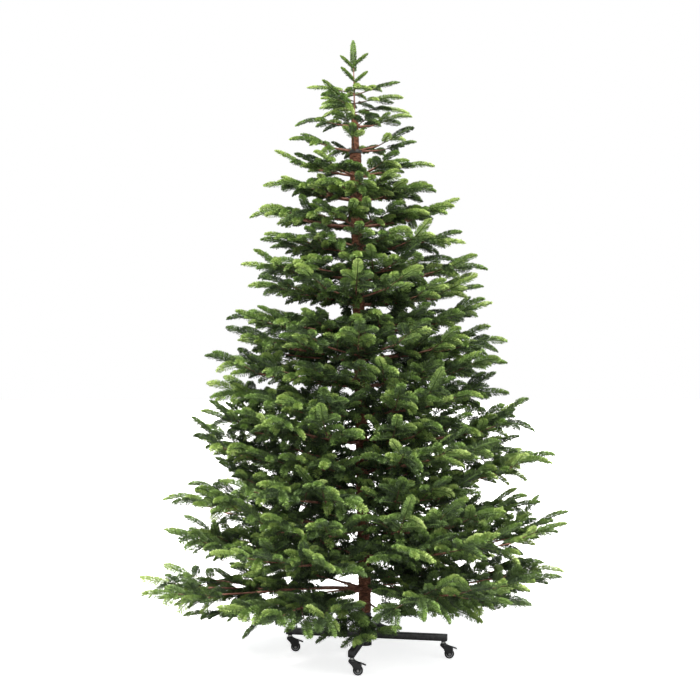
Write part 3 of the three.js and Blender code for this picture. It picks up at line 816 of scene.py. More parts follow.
def grow_top_fronds(growth):
    """The fronds round the foot of the leader."""
    turn_swing, rise_swing, roll_swing, length_swing = TOP_FROND_VARIATION
    for level, (base, length, count, turn, rise) in enumerate(TOP_FRONDS):
        for k in range(count):
            mark = TOP_FROND_MARK + level * MARKS_A_RING + k
            angle = math.radians(turn + turn_swing * swing(mark, 1, 6)) + 2 * math.pi * k / count
            lift = math.radians(rise + rise_swing * swing(mark, 2, 6))
            ahead = side_direction(flat_heading(angle), 0, lift)
            root = axis_point(base * MM + TOP_FROND_STAGGER * k)
            own = length * MM * (1 + length_swing * swing(mark, 4, 6))
            # A level of 1 paints these fronds a little lighter round the leader, as painted light.
            grow_frond(growth, 2, root, ahead, roll_swing * swing(mark, 3, 6), own, mark, 1)


def grow_leader_rings(growth):
    """The rings of single shoots round the leader."""
    for level, (base, length, count, turn, rise) in enumerate(LEADER_RINGS):
        for k in range(count):
            angle = math.radians(turn) + 2 * math.pi * k / count
            lift = math.radians(rise + RING_LIFT_VARIATION * swing(level, k, 5))
            ahead = side_direction(flat_heading(angle), 0, lift)
            above = above_of(ahead)
            root = axis_point(base * MM + RING_STAGGER * k)
            growth.shoot(2, root, ahead, above, length * MM, RING_BEND * above, 2, RING_DENSE)


def grow_crown():
    growth = Growth()
    for whorl in range(WHORLS):
        grow_whorl(growth, whorl)
    grow_low_boughs(growth)
    grow_leader(growth)
    grow_top_fronds(growth)
    grow_leader_rings(growth)
    return growth


# ---- Meshes from arrays ----

def placed(name, data):
    """A new object in the scene."""
    made = bpy.data.objects.new(name, data)
    bpy.context.scene.collection.objects.link(made)
    return made


def mesh_object(name, points, faces, smooth=False):
    """A mesh from an array of points and an array of faces of one size."""
    mesh = bpy.data.meshes.new(name)
    sides = faces.shape[1]
    mesh.vertices.add(len(points))
    mesh.vertices.foreach_set("co", np.ascontiguousarray(points, np.float32).ravel())
    mesh.loops.add(faces.size)
    mesh.loops.foreach_set("vertex_index", np.ascontiguousarray(faces, np.int32).ravel())
    mesh.polygons.add(len(faces))
    mesh.polygons.foreach_set("loop_start", np.arange(0, faces.size, sides, dtype=np.int32))
    mesh.polygons.foreach_set("use_smooth", np.full(len(faces), smooth, bool))
    mesh.update(calc_edges=True)
    return placed(name, mesh)


def rings_along(line, radii, sides, relief, seed):
    """The rings of a tapering tube along a line, with shallow bumps, and the line's direction."""
    count = len(line)
    ahead = units(np.gradient(line, axis=0))
    side = np.cross((0.0, 0.0, 1.0), ahead)
    side[np.linalg.norm(side, axis=1) < 0.05] = (0.0, 1.0, 0.0)
    side = units(side)
    above = np.cross(ahead, side)
    radius = radii[0] + (radii[1] - radii[0]) * np.linspace(0, 1, count)
    angles = 2 * np.pi * np.arange(sides) / sides
    rows = np.arange(count)[:, None]
    onward, wound, apart = BUMP_PHASES
    bumps = np.sin(rows * onward + seed) * np.sin(angles[None] * 2 + rows * wound + seed * apart)
    radius = radius[:, None] * (1 + relief * bumps)
    ring = side[:, None] * np.cos(angles)[None, :, None]
    ring = ring + above[:, None] * np.sin(angles)[None, :, None]
    return (line[:, None] + ring * radius[..., None]).reshape(-1, 3), ahead


def tube_arrays(line, radii, sides, relief, seed):
    """Points and triangles of a tapering closed tube along a line; its ends come to a point."""
    count = len(line)
    rings, ahead = rings_along(line, radii, sides, relief, seed)
    start_point = line[:1] - ahead[:1] * radii[0] * POINTED_ENDS[0]
    end_point = line[-1:] + ahead[-1:] * radii[1] * POINTED_ENDS[1]
    points = np.vstack((rings, start_point, end_point))
    row = np.arange(count - 1)[:, None] * sides
    here = np.arange(sides)
    after = (here + 1) % sides
    quads = np.stack((row + here, row + after, row + sides + after, row + sides + here), -1).reshape(-1, 4)
    first, last = count * sides, count * sides + 1
    top = (count - 1) * sides
    start = np.stack((np.full(sides, first), after, here), -1)
    finish = np.stack((np.full(sides, last), top + here, top + after), -1)
    return points, np.vstack((quads[:, (0, 1, 2)], quads[:, (0, 2, 3)], start, finish))


def joined_tubes(name, tubes, relief):
    points, faces, total = [], [], 0
    for seed, (line, radii, sides) in enumerate(tubes):
        own_points, own_faces = tube_arrays(line, radii, sides, relief, seed)
        points.append(own_points)
        faces.append(own_faces + total)
        total += len(own_points)
    return mesh_object(name, np.vstack(points), np.vstack(faces), smooth=True)


def shoot_line(root, ahead, length, curve, share):
    """Points of a shoot's stem, for an array of shares of its length."""
    return root + ahead * (share * length)[:, None] + curve * (length * share**2)[:, None]


def needle_sizes(root, place, end, around, rng):
    """The length of every needle of one shoot."""
    higher = held((root[2] - TOP_DETAIL) / (HEIGHT - TOP_DETAIL))
    size = NEEDLE_LENGTH * (1 - SHORTER_AT_TOP * higher) * lerp(SIZE_ON_TOP, np.abs(np.sin(around)))
    along = SIZE_AT_FOOT + SIZE_GROWN * np.minimum(place, GROWN_BY)
    size *= along - SIZE_LOST * np.maximum(place - LOST_FROM, 0) - SIZE_LOST_AT_TIP * end
    return size * (1 + SIZE_JITTER * rng.normal(0, 1, len(place)))


def needle_arrays(root, ahead, above, length, curve, dense, seed):
    """The needles of one shoot: corners (n, 3, 3) of slim blades, their places, and which hang under, to be
    painted in shade.
    """
    count = max(LEAST_NEEDLES, int(NEEDLES_A_METRE * length * dense))
    number = np.arange(count)
    place = ((number + 0.5) / count) ** CLOSER_TO_TIP
    end = np.clip((place - TIP_FROM) / (1 - TIP_FROM), 0, 1)
    rng = np.random.default_rng(seed)
    side = unit(np.cross(ahead, above))
    turn = (number * GOLDEN_TURN / (2 * np.pi) + rng.random()) % 1 * 2 - 1
    around = turn * NEEDLE_SPREAD + rng.normal(0, SPREAD_JITTER, count)
    along = place * NEEDLED_SHARE
    stem = shoot_line(root, ahead, length, curve, along)
    tangent = units(ahead + curve * (2 * along)[:, None])
    lifted = units(np.cross(side, tangent))
    out = lifted * np.cos(around)[:, None] + side * np.sin(around)[:, None]
    tip_lean = TIP_LEAN_LOST * end * lerp(TIP_LEAN_SHARE, rng.random(count))
    lean = np.radians(NEEDLE_LEAN - LEAN_LOST * place - tip_lean) + rng.normal(0, LEAN_JITTER, count)
    heading = tangent * np.cos(lean)[:, None] + out * np.sin(lean)[:, None]
    size = needle_sizes(root, place, end, around, rng)
    wide = units(np.cross(heading, out))
    top = np.cross(wide, heading)
    top *= np.sign((top * out).sum(1))[:, None]
    turned = rng.random(count)[:, None] * np.pi
    half = (wide * np.cos(turned) + top * np.sin(turned)) * (NEEDLE_WIDTH / 2 / math.sqrt(min(1, dense)))
    short = np.where(rng.random(count) < 0.5, SHORT_CORNER, 1.0)
    left = stem + heading * (size * short)[:, None] + half
    right = stem + heading * (size * (1 + SHORT_CORNER - short))[:, None] - half
    return np.stack((stem, left, right), 1), place, np.abs(around) > SHADED_UNDERSIDE


def build_needles(growth):
    """All needles, joined by tier and painted light tone: each piece with its tier and tone."""
    piles = {(tier, tone): [] for tier in range(len(TIERS)) for tone in range(len(TONES))}
    for number, (tier, root, ahead, above, length, curve, tone, dense) in enumerate(growth.shoots):
        corners, place, in_shade = needle_arrays(root, ahead, above, length, curve, dense, number)
        # Painted light on each needle: one tone lighter towards the shoot's end as a painted highlight, one
        # tone darker where it hangs under as painted shade.
        own = np.clip(tone + (place > HIGHLIGHT_FROM) - in_shade, 0, len(TONES) - 1)
        for shade in np.unique(own):
            piles[tier, shade].append(corners[own == shade])
    made = []
    for (tier, tone), parts in piles.items():
        if parts:
            corners = np.concatenate(parts).reshape(-1, 3)
            name = f"needles_{TIERS[tier]}_{TONES[tone]}"
            made.append((mesh_object(name, corners, np.arange(len(corners)).reshape(-1, 3)), tier, tone))
    return made


def stem_tubes(growth, tier):
    """The thin stems of a tier's shoots."""
    tubes = []
    for own_tier, root, ahead, above, length, curve, tone, dense in growth.shoots:
        if own_tier == tier:
            share = np.linspace(0, NEEDLED_SHARE, 2 if dense < 1 else 3)
            tubes.append((shoot_line(root, ahead, length, curve, share), SHOOT_STEM_RADII, 3))
    return tubes


# ---- Hard pieces: lofts, turned shapes and plates ----

class Body:
    """Points and faces of one closed piece or of several that are joined into one object."""

    def __init__(self):
        self.points = []
        self.faces = []

    def add(self, points, faces):
        start = len(self.points)
        self.points += [tuple(p) for p in points]
        self.faces += [tuple(start + i for i in face) for face in faces]
        return self

    def loft(self, rings, loop=False):
        """Joins rings of equal length; the first and last are closed, or meet each other in a loop."""
        sides = len(rings[0])
        faces = []
        pairs = [(k, k + 1) for k in range(len(rings) - 1)]
        if loop:
            pairs.append((len(rings) - 1, 0))
        for a, b in pairs:
            for i in range(sides):
                j = (i + 1) % sides
                faces.append((a * sides + i, a * sides + j, b * sides + j, b * sides + i))
        if not loop:
            faces.append(tuple(reversed(range(sides))))
            faces.append(tuple((len(rings) - 1) * sides + i for i in range(sides)))
        return self.add([p for ring in rings for p in ring], faces)

    def turned(self, profile, sides, place, loop=False):
        """A profile of radius and height pairs turned about Z, then moved by a matrix."""
        turns = [2 * math.pi * i / sides for i in range(sides)]
        circle = [(math.cos(turn), math.sin(turn)) for turn in turns]
        return self.loft([[place @ Vector((r * x, r * y, z)) for x, y in circle] for r, z in profile], loop)

    def plate(self, outline, thickness, place, edge=0.6 * MM):
        """A flat plate with softened edges: its outline in X and Y, its thickness along Z."""
        middle = Vector((sum(x for x, _ in outline), sum(y for _, y in outline))) / len(outline)
        rings = []
        for height, inset in ((0, edge), (edge, 0), (thickness - edge, 0), (thickness, edge)):
            ring = []
            for x, y in outline:
                away = Vector((x, y)) - middle
                point = middle + away * (1 - inset / away.length)
                ring.append(place @ Vector((point.x, point.y, height)))
            rings.append(ring)
        return self.loft(rings)

    def tube(self, line, radius, sides, relief=0.0):
        return self.add(*tube_arrays(np.array(line), (radius, radius), sides, relief, 1))

    def made(self, name, smooth=math.radians(35)):
        mesh = bpy.data.meshes.new(name)
        mesh.from_pydata(self.points, [], self.faces)
        mesh.validate()
        work = bmesh.new()
        work.from_mesh(mesh)
        bmesh.ops.recalc_face_normals(work, faces=work.faces)
        work.to_mesh(mesh)
        work.free()
        mesh.polygons.foreach_set("use_smooth", [True] * len(mesh.polygons))
        mesh.set_sharp_from_angle(angle=smooth)
        return placed(name, mesh)


def rounded(outline):
    """An outline with its corners cut twice, so that it runs in soft curves."""
    for _ in range(2):
        cut = []
        for (x0, y0), (x1, y1) in zip(outline, outline[1:] + outline[:1]):
            cut.append((0.75 * x0 + 0.25 * x1, 0.75 * y0 + 0.25 * y1))
            cut.append((0.25 * x0 + 0.75 * x1, 0.25 * y0 + 0.75 * y1))
        outline = cut
    return outline


def rounded_square(side, corner, steps=5):
    reach = side / 2 - corner
    outline = []
    for quarter, (x, y) in enumerate(((1, 1), (-1, 1), (-1, -1), (1, -1))):
        for k in range(steps):
            angle = math.pi / 2 * (quarter + k / (steps - 1))
            outline.append((x * reach + corner * math.cos(angle), y * reach + corner * math.sin(angle)))
    return outline


def mirrored(half, middle=()):
    """A closed section from its lower half, which runs from the inside to the outside."""
    return half + middle + tuple((radius, -height) for radius, height in reversed(half))


def thread(bottom, top, radius, pitch, depth):
    """A profile of fine ridges, as on a screw."""
    profile = [(radius - depth, bottom)]
    height = bottom
    while height + pitch < top:
        profile.append((radius, height + pitch / 2))
        profile.append((radius - depth, height + pitch))
        height += pitch
    profile.append((radius - depth, top))
    return profile


def laid(turn, height, x=0.0):
    """A frame near the stand's middle, its Z lying along a direction and its Y up."""
    out = Vector((math.cos(turn), math.sin(turn), 0))
    up = Vector((0, 0, 1))
    place = Matrix((up.cross(out), up, out)).transposed().to_4x4()
    place.translation = Vector(FOOT) + Vector((x, 0, height))
    return place


def leaning():
    """A matrix from an upright frame at the trunk's foot to the leaning trunk."""
    return Matrix.Translation(Vector(FOOT)) @ Matrix.Rotation(-LEAN, 4, "Y")


# ---- Trunk ----

def noise_at(spot, fineness, strength):
    return noise.noise(spot * fineness) * strength


def wrapped_pole(name, bottom, top, radii, band, depth, ring_step, sides):
    """A pole wound with strips of bark: rounded bands, ragged edges and lumps, in real relief."""
    place = leaning()
    count = int((top - bottom) / ring_step) + 1
    rings = []
    for k in range(count + 1):
        height = bottom + (top - bottom) * k / count
        base = lerp(radii, k / count)
        end = min(1, min(k, count - k) / FADED_RINGS)
        ring = []
        for i in range(sides):
            angle = 2 * math.pi * i / sides
            around = Vector((math.cos(angle), math.sin(angle), 0))
            spot = Vector((around.x * NOISE_RADIUS, around.y * NOISE_RADIUS, height))
            phase = (height / band + angle / (2 * math.pi) + noise_at(spot, *SEAM_NOISE)) % 1
            ridge = math.sin(math.pi * phase) ** BAND_POWER
            lump = sum(noise_at(spot, *own) for own in LUMP_NOISES)
            radius = base - depth + depth * end * (ridge + LUMP_SHARE * lump)
            ring.append(place @ Vector((around.x * radius, around.y * radius, height)))
        rings.append(ring)
    return Body().loft(rings).made(name, math.radians(60))


def lower_wrap():
    thicker = WRAP_THICKER[0]
    radii = (WRAP_RADIUS + thicker, WRAP_TOP_RADIUS + thicker)
    return wrapped_pole("trunk_wrap", WRAP_FOOT, COLLAR_HEIGHT, radii, **LOWER_WRAP)


def upper_wrap():
    thicker = WRAP_THICKER[1]
    radii = (TOP_POLE_RADIUS + thicker, TOP_POLE_END_RADIUS + thicker)
    return wrapped_pole("trunk_wrap_top", COLLAR_HEIGHT + COLLAR_LENGTH, POLE_TOP, radii, **UPPER_WRAP)


def bare_pole():
    edge = 2 * MM
    foot = ((POLE_RADIUS - edge, POLE_FOOT), (POLE_RADIUS, POLE_FOOT + edge))
    return Body().turned(foot + ((POLE_RADIUS, WRAP_FOOT - 1 * MM),), 40, leaning()).made("trunk_pole")


def trunk_collar():
    place = leaning() @ Matrix.Translation((0, 0, COLLAR_HEIGHT))
    return Body().turned(COLLAR_PROFILE, 48, place).made("trunk_collar")


# ---- Stand ----

def arm_sections():
    """The outlines along an arm: the tube, its rounded lip, and the plug inside its end."""
    length = CASTOR_OFFSET + ARM_PAST_CASTOR
    sections = [
        (rounded_square(ARM_SIDE - narrower * MM, corner * MM), length - back * MM)
        for narrower, corner, back in ARM_END
    ]
    return [(sections[0][0], SOCKET_RADIUS - ARM_SUNK)] + sections


def stand_arms():
    """Four arms of square tube welded to the socket, each with a plug in its end."""
    body = Body()
    bead = rounded_square(ARM_SIDE + BEAD_OUT, BEAD_CORNER, 4)
    for k in range(4):
        turn = ARM_TURN + k * math.pi / 2
        place = laid(turn, ARM_BOTTOM + ARM_SIDE / 2)
        body.loft([[place @ Vector((x, y, along)) for x, y in outline] for outline, along in arm_sections()])
        weld = [place @ Vector((x, y, SOCKET_RADIUS + BEAD_OUT)) for x, y in bead]
        body.tube(weld, BEAD_RADIUS, 8, BEAD_RELIEF)
        bush = Vector(FOOT) + Vector((math.cos(turn), math.sin(turn), 0)) * CASTOR_OFFSET
        body.turned(ARM_BUSH, 32, Matrix.Translation(bush), loop=True)
    return body.made("stand_arms")


def stand_socket():
    body = Body().turned(SOCKET_PROFILE, 56, leaning(), loop=True)
    return body.turned(SOCKET_FLOOR, 56, leaning()).made("stand_socket")


def stand_screw():
    """A wing screw through the socket's wall, with its welded nut."""
    place = laid(SCREW_TURN, SCREW_HEIGHT, axis_x(SCREW_HEIGHT))
    body = Body().turned(thread(SOCKET_RADIUS - SCREW_SUNK, SCREW_REACH, *SCREW_THREAD), 24, place)
    body.turned(SCREW_NUT, 6, place, loop=True).turned(SCREW_HEAD, 24, place)
    across = place @ Matrix.Translation((0, 0, SCREW_REACH + WING_OUT)) @ Matrix.Rotation(math.pi / 2, 4, "X")
    across = across @ Matrix.Translation((0, WING_THICKNESS / 2, -WING_THICKNESS / 2))
    for sign in (1, -1):
        body.plate([(sign * x, y) for x, y in rounded(SCREW_WING)], WING_THICKNESS, across)
    return body.made("stand_screw")


# ---- Castors; each takes the place of its swivel's axis on the floor ----

def onto_axle(at):
    """The frame of a wheel, its Z along the axle."""
    return at @ Matrix.Translation((TRAIL, 0, WHEEL_RADIUS)) @ Matrix.Rotation(math.pi / 2, 4, "X")


def castor_stem(at, name):
    body = Body().turned(thread(STEM_FOOT, ARM_BOTTOM + STEM_PAST_ARM, *STEM_THREAD), 24, at)
    return body.turned(STEM_NUT, 6, at, loop=True).turned(STEM_WASHER, 32, at, loop=True).made(name)


def castor_hood(at):
    """The rings of the hood that covers the top of the wheel."""
    rings = []
    for k in range(HOOD_STEPS + 1):
        angle = math.radians(HOOD_START + HOOD_SPAN * k / HOOD_STEPS)
        ring = []
        for clearance, y in HOOD_SECTION:
            radius = WHEEL_RADIUS + clearance
            x = TRAIL + radius * math.cos(angle)
            ring.append(at @ Vector((x, y, WHEEL_RADIUS + radius * math.sin(angle))))
        rings.append(ring)
    return rings


def castor_housing(at, name):
    """The swivel's disc, the twin cheeks and the hood."""
    body = Body().turned(SWIVEL_DISC, 40, at)
    for start in CHEEK_STARTS:
        place = at @ Matrix.Translation((0, start, 0)) @ Matrix.Rotation(math.pi / 2, 4, "X")
        body.plate(rounded(CHEEK_OUTLINE), CHEEK_THICKNESS, place, SOFT_EDGE)
    return body.loft(castor_hood(at)).made(name)


def castor_pedal(at, name):
    """The brake's pedal with its pin and four ribs."""
    lever = at @ Matrix.Translation(PEDAL_PLACE) @ Matrix.Rotation(PEDAL_TILT, 4, "Y")
    sunk = lever @ Matrix.Translation((0, 0, -PEDAL_SUNK))
    body = Body().plate(rounded(PEDAL_OUTLINE), PEDAL_THICKNESS, sunk, SOFT_EDGE)
    body.tube([at @ Vector((x * MM, y * MM, z * MM)) for x, y, z in PEDAL_PIN], PEDAL_PIN_RADIUS, 16)
    for x in RIBS_ALONG:
        body.tube([lever @ Vector((x * MM, y * MM, RIB_LIFT)) for y in RIB_ACROSS], RIB_RADIUS, 8)
    return body.made(name)


def castor_axle(at, name):
    wheel = onto_axle(at)
    body = Body().turned(AXLE_ROD, 24, wheel)
    return body.turned(AXLE_NUT, 6, wheel).turned(AXLE_HEAD, 28, wheel).made(name)


def castor_tread(at, name):
    return Body().turned(mirrored(TREAD_HALF, TREAD_CROWN), 64, onto_axle(at), loop=True).made(name)


def castor_hub(at, name):
    """The hub with its spokes on both faces."""
    body = Body().turned(mirrored(HUB_HALF), 56, onto_axle(at), loop=True)
    for lift in SPOKE_LIFTS:
        for k in range(SPOKES):
            spoke = onto_axle(at) @ Matrix.Rotation(2 * math.pi * k / SPOKES, 4, "Z")
            place = spoke @ Matrix.Translation((0, 0, lift))
            body.plate(SPOKE_OUTLINE, SPOKE_THICKNESS, place, SPOKE_EDGE)
    return body.made(name)


# ---- Materials ----

def srgb(r, g, b):
    """A colour as shown on a screen, turned into the linear one that a shader takes."""
    def linear(c):
        c /= 255
        return c / 12.92 if c <= 0.04045 else ((c + 0.055) / 1.055) ** 2.4

    return (linear(r), linear(g), linear(b), 1)


def new_material(name, colour, roughness, metallic=0.0, specular=0.5):
    made = bpy.data.materials.new(name)
    made.use_nodes = True
    shader = made.node_tree.nodes["Principled BSDF"]
    shader.inputs["Base Color"].default_value = colour
    for label, value in (("Roughness", roughness), ("Metallic", metallic), ("Specular IOR Level", specular)):
        shader.inputs[label].default_value = value
    return made, shader


def put_on(piece, material):
    piece.data.materials.clear()
    piece.data.materials.append(material)


class Wiring:
    """Adds nodes to a material or a group, and joins them."""

    def __init__(self, tree):
        self.tree = tree

    def add(self, kind, **settings):
        node = self.tree.nodes.new(kind)
        for key, value in settings.items():
            setattr(node, key, value)
        return node

    def join(self, output, socket):
        self.tree.links.new(output, socket)

    def feed(self, socket, value):
        """Sets a socket to a constant, or joins an output to it."""
        if isinstance(value, (int, float, tuple)):
            socket.default_value = value
        else:
            self.join(value, socket)

    def calc(self, operation, *values, clamp=False):
        node = self.add("ShaderNodeMath", operation=operation, use_clamp=clamp)
        for socket, value in zip(node.inputs, values):
            self.feed(socket, value)
        return node.outputs[0]

    def ranged(self, value, low, high, to_low=0.0, to_high=1.0):
        node = self.add("ShaderNodeMapRange", clamp=True)
        self.join(value, node.inputs["Value"])
        for name, number in (("From Min", low), ("From Max", high), ("To Min", to_low), ("To Max", to_high)):
            node.inputs[name].default_value = number
        return node.outputs["Result"]

    def blend(self, share, first, second):
        node = self.add("ShaderNodeMix", data_type="RGBA", blend_type="MIX")
        sockets = [x for x in node.inputs if x.type == "RGBA"]
        self.feed(node.inputs[0], share)
        self.feed(sockets[0], first)
        self.feed(sockets[1], second)
        return [x for x in node.outputs if x.type == "RGBA"][0]

    def noise(self, scale, detail, rough=0.55, stretch=(1, 1, 1)):
        """Noise in the piece's own coordinates."""
        mapping = self.add("ShaderNodeMapping")
        mapping.inputs["Scale"].default_value = stretch
        self.join(self.add("ShaderNodeTexCoord").outputs["Object"], mapping.inputs["Vector"])
        node = self.add("ShaderNodeTexNoise")
        self.join(mapping.outputs["Vector"], node.inputs["Vector"])
        for label, value in (("Scale", scale), ("Detail", detail), ("Roughness", rough)):
            self.feed(node.inputs[label], value)
        return node.outputs["Fac"]


FLOAT, COLOUR = "NodeSocketFloat", "NodeSocketColor"
BLACK = (0, 0, 0, 1)
MASK_ONLY = (("Mask", FLOAT),)
SURFACE = (("Color", COLOUR), ("Roughness", FLOAT), ("Height", FLOAT))


def new_group(name, takes, gives):
    """An empty shader node group with its named sockets."""
    group = bpy.data.node_groups.new(name, "ShaderNodeTree")
    for label, kind, value in takes:
        socket = group.interface.new_socket(label, in_out="INPUT", socket_type=kind)
        socket.default_value = value
    for label, kind in gives:
        group.interface.new_socket(label, in_out="OUTPUT", socket_type=kind)
    wiring = Wiring(group)
    return group, wiring, wiring.add("NodeGroupInput").outputs, wiring.add("NodeGroupOutput").inputs


def bark_fibre_group():
    """Wound bark: fibres that run round the pole, dark seams between them, and lumps."""
    colours = tuple((label, COLOUR, BLACK) for label in ("Dark", "Middle", "Light"))
    inputs = colours + (("Fibre Size", FLOAT, 100.0),)
    group, w, takes, gives = new_group("bark_fibres", inputs, SURFACE)
    fibres = w.noise(takes["Fibre Size"], 5, 0.62, (0.35, 0.35, 3.2))
    lumps = w.noise(42.0, 3, 0.6, (1, 1, 1.6))
    patches = w.noise(9.0, 2)
    share = w.ranged(w.calc("MULTIPLY_ADD", lumps, 0.45, w.calc("MULTIPLY", fibres, 0.62)), 0.38, 0.7)
    low = w.blend(w.ranged(share, 0.0, 0.55), takes["Dark"], takes["Middle"])
    patchy = w.calc("ADD", share, w.ranged(patches, 0.35, 0.7, -0.12, 0.14))
    w.join(w.blend(w.ranged(patchy, 0.5, 1.0), low, takes["Light"]), gives["Color"])
    w.join(w.ranged(fibres, 0.3, 0.7, 0.92, 0.7), gives["Roughness"])
    w.join(share, gives["Height"])
    return group


def grain_group():
    """Fine grain and cloudy patches for painted, plated and moulded surfaces."""
    inputs = (
        ("Grain Size", FLOAT, 900.0), ("Base", COLOUR, BLACK), ("Cloud", COLOUR, BLACK),
        ("Smooth", FLOAT, 0.3), ("Rough", FLOAT, 0.5),
    )
    group, w, takes, gives = new_group("fine_grain", inputs, SURFACE)
    grain = w.noise(takes["Grain Size"], 2, 0.6)
    share = w.ranged(w.noise(26.0, 4, 0.6), 0.38, 0.66)
    w.join(w.blend(share, takes["Base"], takes["Cloud"]), gives["Color"])
    spread = w.calc("SUBTRACT", takes["Rough"], takes["Smooth"])
    mixed = w.calc("MULTIPLY_ADD", grain, 0.5, w.calc("MULTIPLY", share, 0.5))
    w.join(w.calc("MULTIPLY_ADD", mixed, spread, takes["Smooth"]), gives["Roughness"])
    w.join(grain, gives["Height"])
    return group


def edge_wear_group():
    """A mask of the rubbed edges, broken up so that no edge is worn evenly."""
    group, w, takes, gives = new_group("edge_wear", (("Amount", FLOAT, 1.0),), MASK_ONLY)
    shape = w.add("ShaderNodeNewGeometry")
    edges = w.ranged(shape.outputs["Pointiness"], 0.52, 0.62)
    broken = w.ranged(w.noise(60.0, 5, 0.7), 0.35, 0.6)
    w.join(w.calc("MULTIPLY", w.calc("MULTIPLY", edges, broken), takes["Amount"], clamp=True), gives["Mask"])
    return group


def dust_group():
    """A mask of the dust that settles on what faces up."""
    group, w, takes, gives = new_group("settled_dust", (("Amount", FLOAT, 1.0),), MASK_ONLY)
    shape = w.add("ShaderNodeNewGeometry")
    split = w.add("ShaderNodeSeparateXYZ")
    w.join(shape.outputs["Normal"], split.inputs[0])
    upward = w.ranged(split.outputs["Z"], 0.2, 0.95)
    patchy = w.ranged(w.noise(34.0, 4, 0.65), 0.3, 0.7, 0.35, 1.0)
    w.join(w.calc("MULTIPLY", w.calc("MULTIPLY", upward, patchy), takes["Amount"], clamp=True), gives["Mask"])
    return group


GROUPS = {
    "bark_fibres": bark_fibre_group(),
    "fine_grain": grain_group(),
    "edge_wear": edge_wear_group(),
    "settled_dust": dust_group(),
}


def placed_group(w, name, **values):
    """A group's outputs, with its inputs set by name; an underscore stands for a space."""
    node = w.add("ShaderNodeGroup", node_tree=GROUPS[name])
    for label, value in values.items():
        node.inputs[label.replace("_", " ")].default_value = value
    return node.outputs


def bump_onto(w, height, shader, strength, distance):
    bump = w.add("ShaderNodeBump")
    bump.inputs["Strength"].default_value = strength
    bump.inputs["Distance"].default_value = distance
    w.join(height, bump.inputs["Height"])
    w.join(bump.outputs["Normal"], shader.inputs["Normal"])


def bark_material(name, colours, fibre, relief):
    dark, middle, light = (srgb(*c) for c in colours)
    made, shader = new_material(name, middle, 0.8, specular=0.25)
    w = Wiring(made.node_tree)
    bark = placed_group(w, "bark_fibres", Dark=dark, Middle=middle, Light=light, Fibre_Size=fibre)
    w.join(bark["Color"], shader.inputs["Base Color"])
    w.join(bark["Roughness"], shader.inputs["Roughness"])
    bump_onto(w, bark["Height"], shader, 0.8, relief)
    return made


def hard_material(name, colours, roughness, grain, relief, wear=0.0, dust=0.0, metallic=0.0):
    """Paint, plating, plastic or rubber: grain and clouds, then rubbed edges and settled dust."""
    base, cloud, worn = (srgb(*c) for c in colours)
    smooth, rough = roughness
    made, shader = new_material(name, base, rough, metallic)
    w = Wiring(made.node_tree)
    sizes = {"Grain_Size": grain, "Smooth": smooth, "Rough": rough}
    surface = placed_group(w, "fine_grain", Base=base, Cloud=cloud, **sizes)
    colour = surface["Color"]
    if wear:
        colour = w.blend(placed_group(w, "edge_wear", Amount=wear)["Mask"], colour, worn)
    if dust:
        colour = w.blend(placed_group(w, "settled_dust", Amount=dust)["Mask"], colour, srgb(*DUST_COLOUR))
    w.join(colour, shader.inputs["Base Color"])
    w.join(surface["Roughness"], shader.inputs["Roughness"])
    bump_onto(w, surface["Height"], shader, 0.5, relief)
    return made


HARD_MATERIALS = {name: hard_material(name, *values) for name, values in HARD_FINISHES.items()}
WRAPPED_BARK = bark_material("wrapped_bark", WRAP_COLOURS, 150.0, 1.2 * MM)
BOUGH_BARK = bark_material("bough_bark", BOUGH_COLOURS, 230.0, 0.8 * MM)
TWIG_BARK = new_material("twig_brown", srgb(*TWIG_COLOUR), 0.75, specular=0.3)[0]
SHOOT_STEM = new_material("shoot_stem", srgb(*SHOOT_STEM_COLOUR), 0.7, specular=0.3)[0]
NEEDLE_MATERIALS = [
    new_material(f"needle_{tone}", srgb(*colour), 0.5, specular=0.35)[0]
    for tone, colour in zip(TONES, NEEDLE_COLOURS)
]


# ---- Camera, light and floor ----

def look_from(place, lens):
    """A level camera that looks along +Y."""
    data = bpy.data.cameras.new("camera")
    data.lens = lens
    data.sensor_width = 36
    data.dof.use_dof = False
    camera = placed("camera", data)
    camera.location = place
    camera.rotation_euler = (math.pi / 2, 0, 0)
    bpy.context.scene.camera = camera


def sun_light(name, towards, strength, spread, colour):
    data = bpy.data.lights.new(name, "SUN")
    data.energy = strength
    data.angle = math.radians(spread)
    data.color = colour
    placed(name, data).rotation_euler = Vector(towards).to_track_quat("-Z", "Y").to_euler()


def shown_apart(w, to_camera, to_rest, surface):
    """Gives a surface one shader for the camera and another for all other rays."""
    path = w.add("ShaderNodeLightPath")
    mix = w.add("ShaderNodeMixShader")
    w.join(path.outputs["Is Camera Ray"], mix.inputs[0])
    w.join(to_rest.outputs[0], mix.inputs[1])
    w.join(to_camera.outputs[0], mix.inputs[2])
    w.join(mix.outputs[0], surface)


def background(w, colour, strength):
    node = w.add("ShaderNodeBackground")
    node.inputs["Color"].default_value = colour
    node.inputs["Strength"].default_value = strength
    return node


def light_studio():
    """A white surround for the camera, a cooler and dimmer one as light, and two suns."""
    world = bpy.data.worlds.new("studio")
    bpy.context.scene.world = world
    world.use_nodes = True
    world.node_tree.nodes.clear()
    w = Wiring(world.node_tree)
    out = w.add("ShaderNodeOutputWorld")
    white = background(w, *SURROUND_SHOWN)
    soft = background(w, *SURROUND_LIGHT)
    shown_apart(w, white, soft, out.inputs["Surface"])
    for name, settings in SUNS.items():
        sun_light(name, *settings)


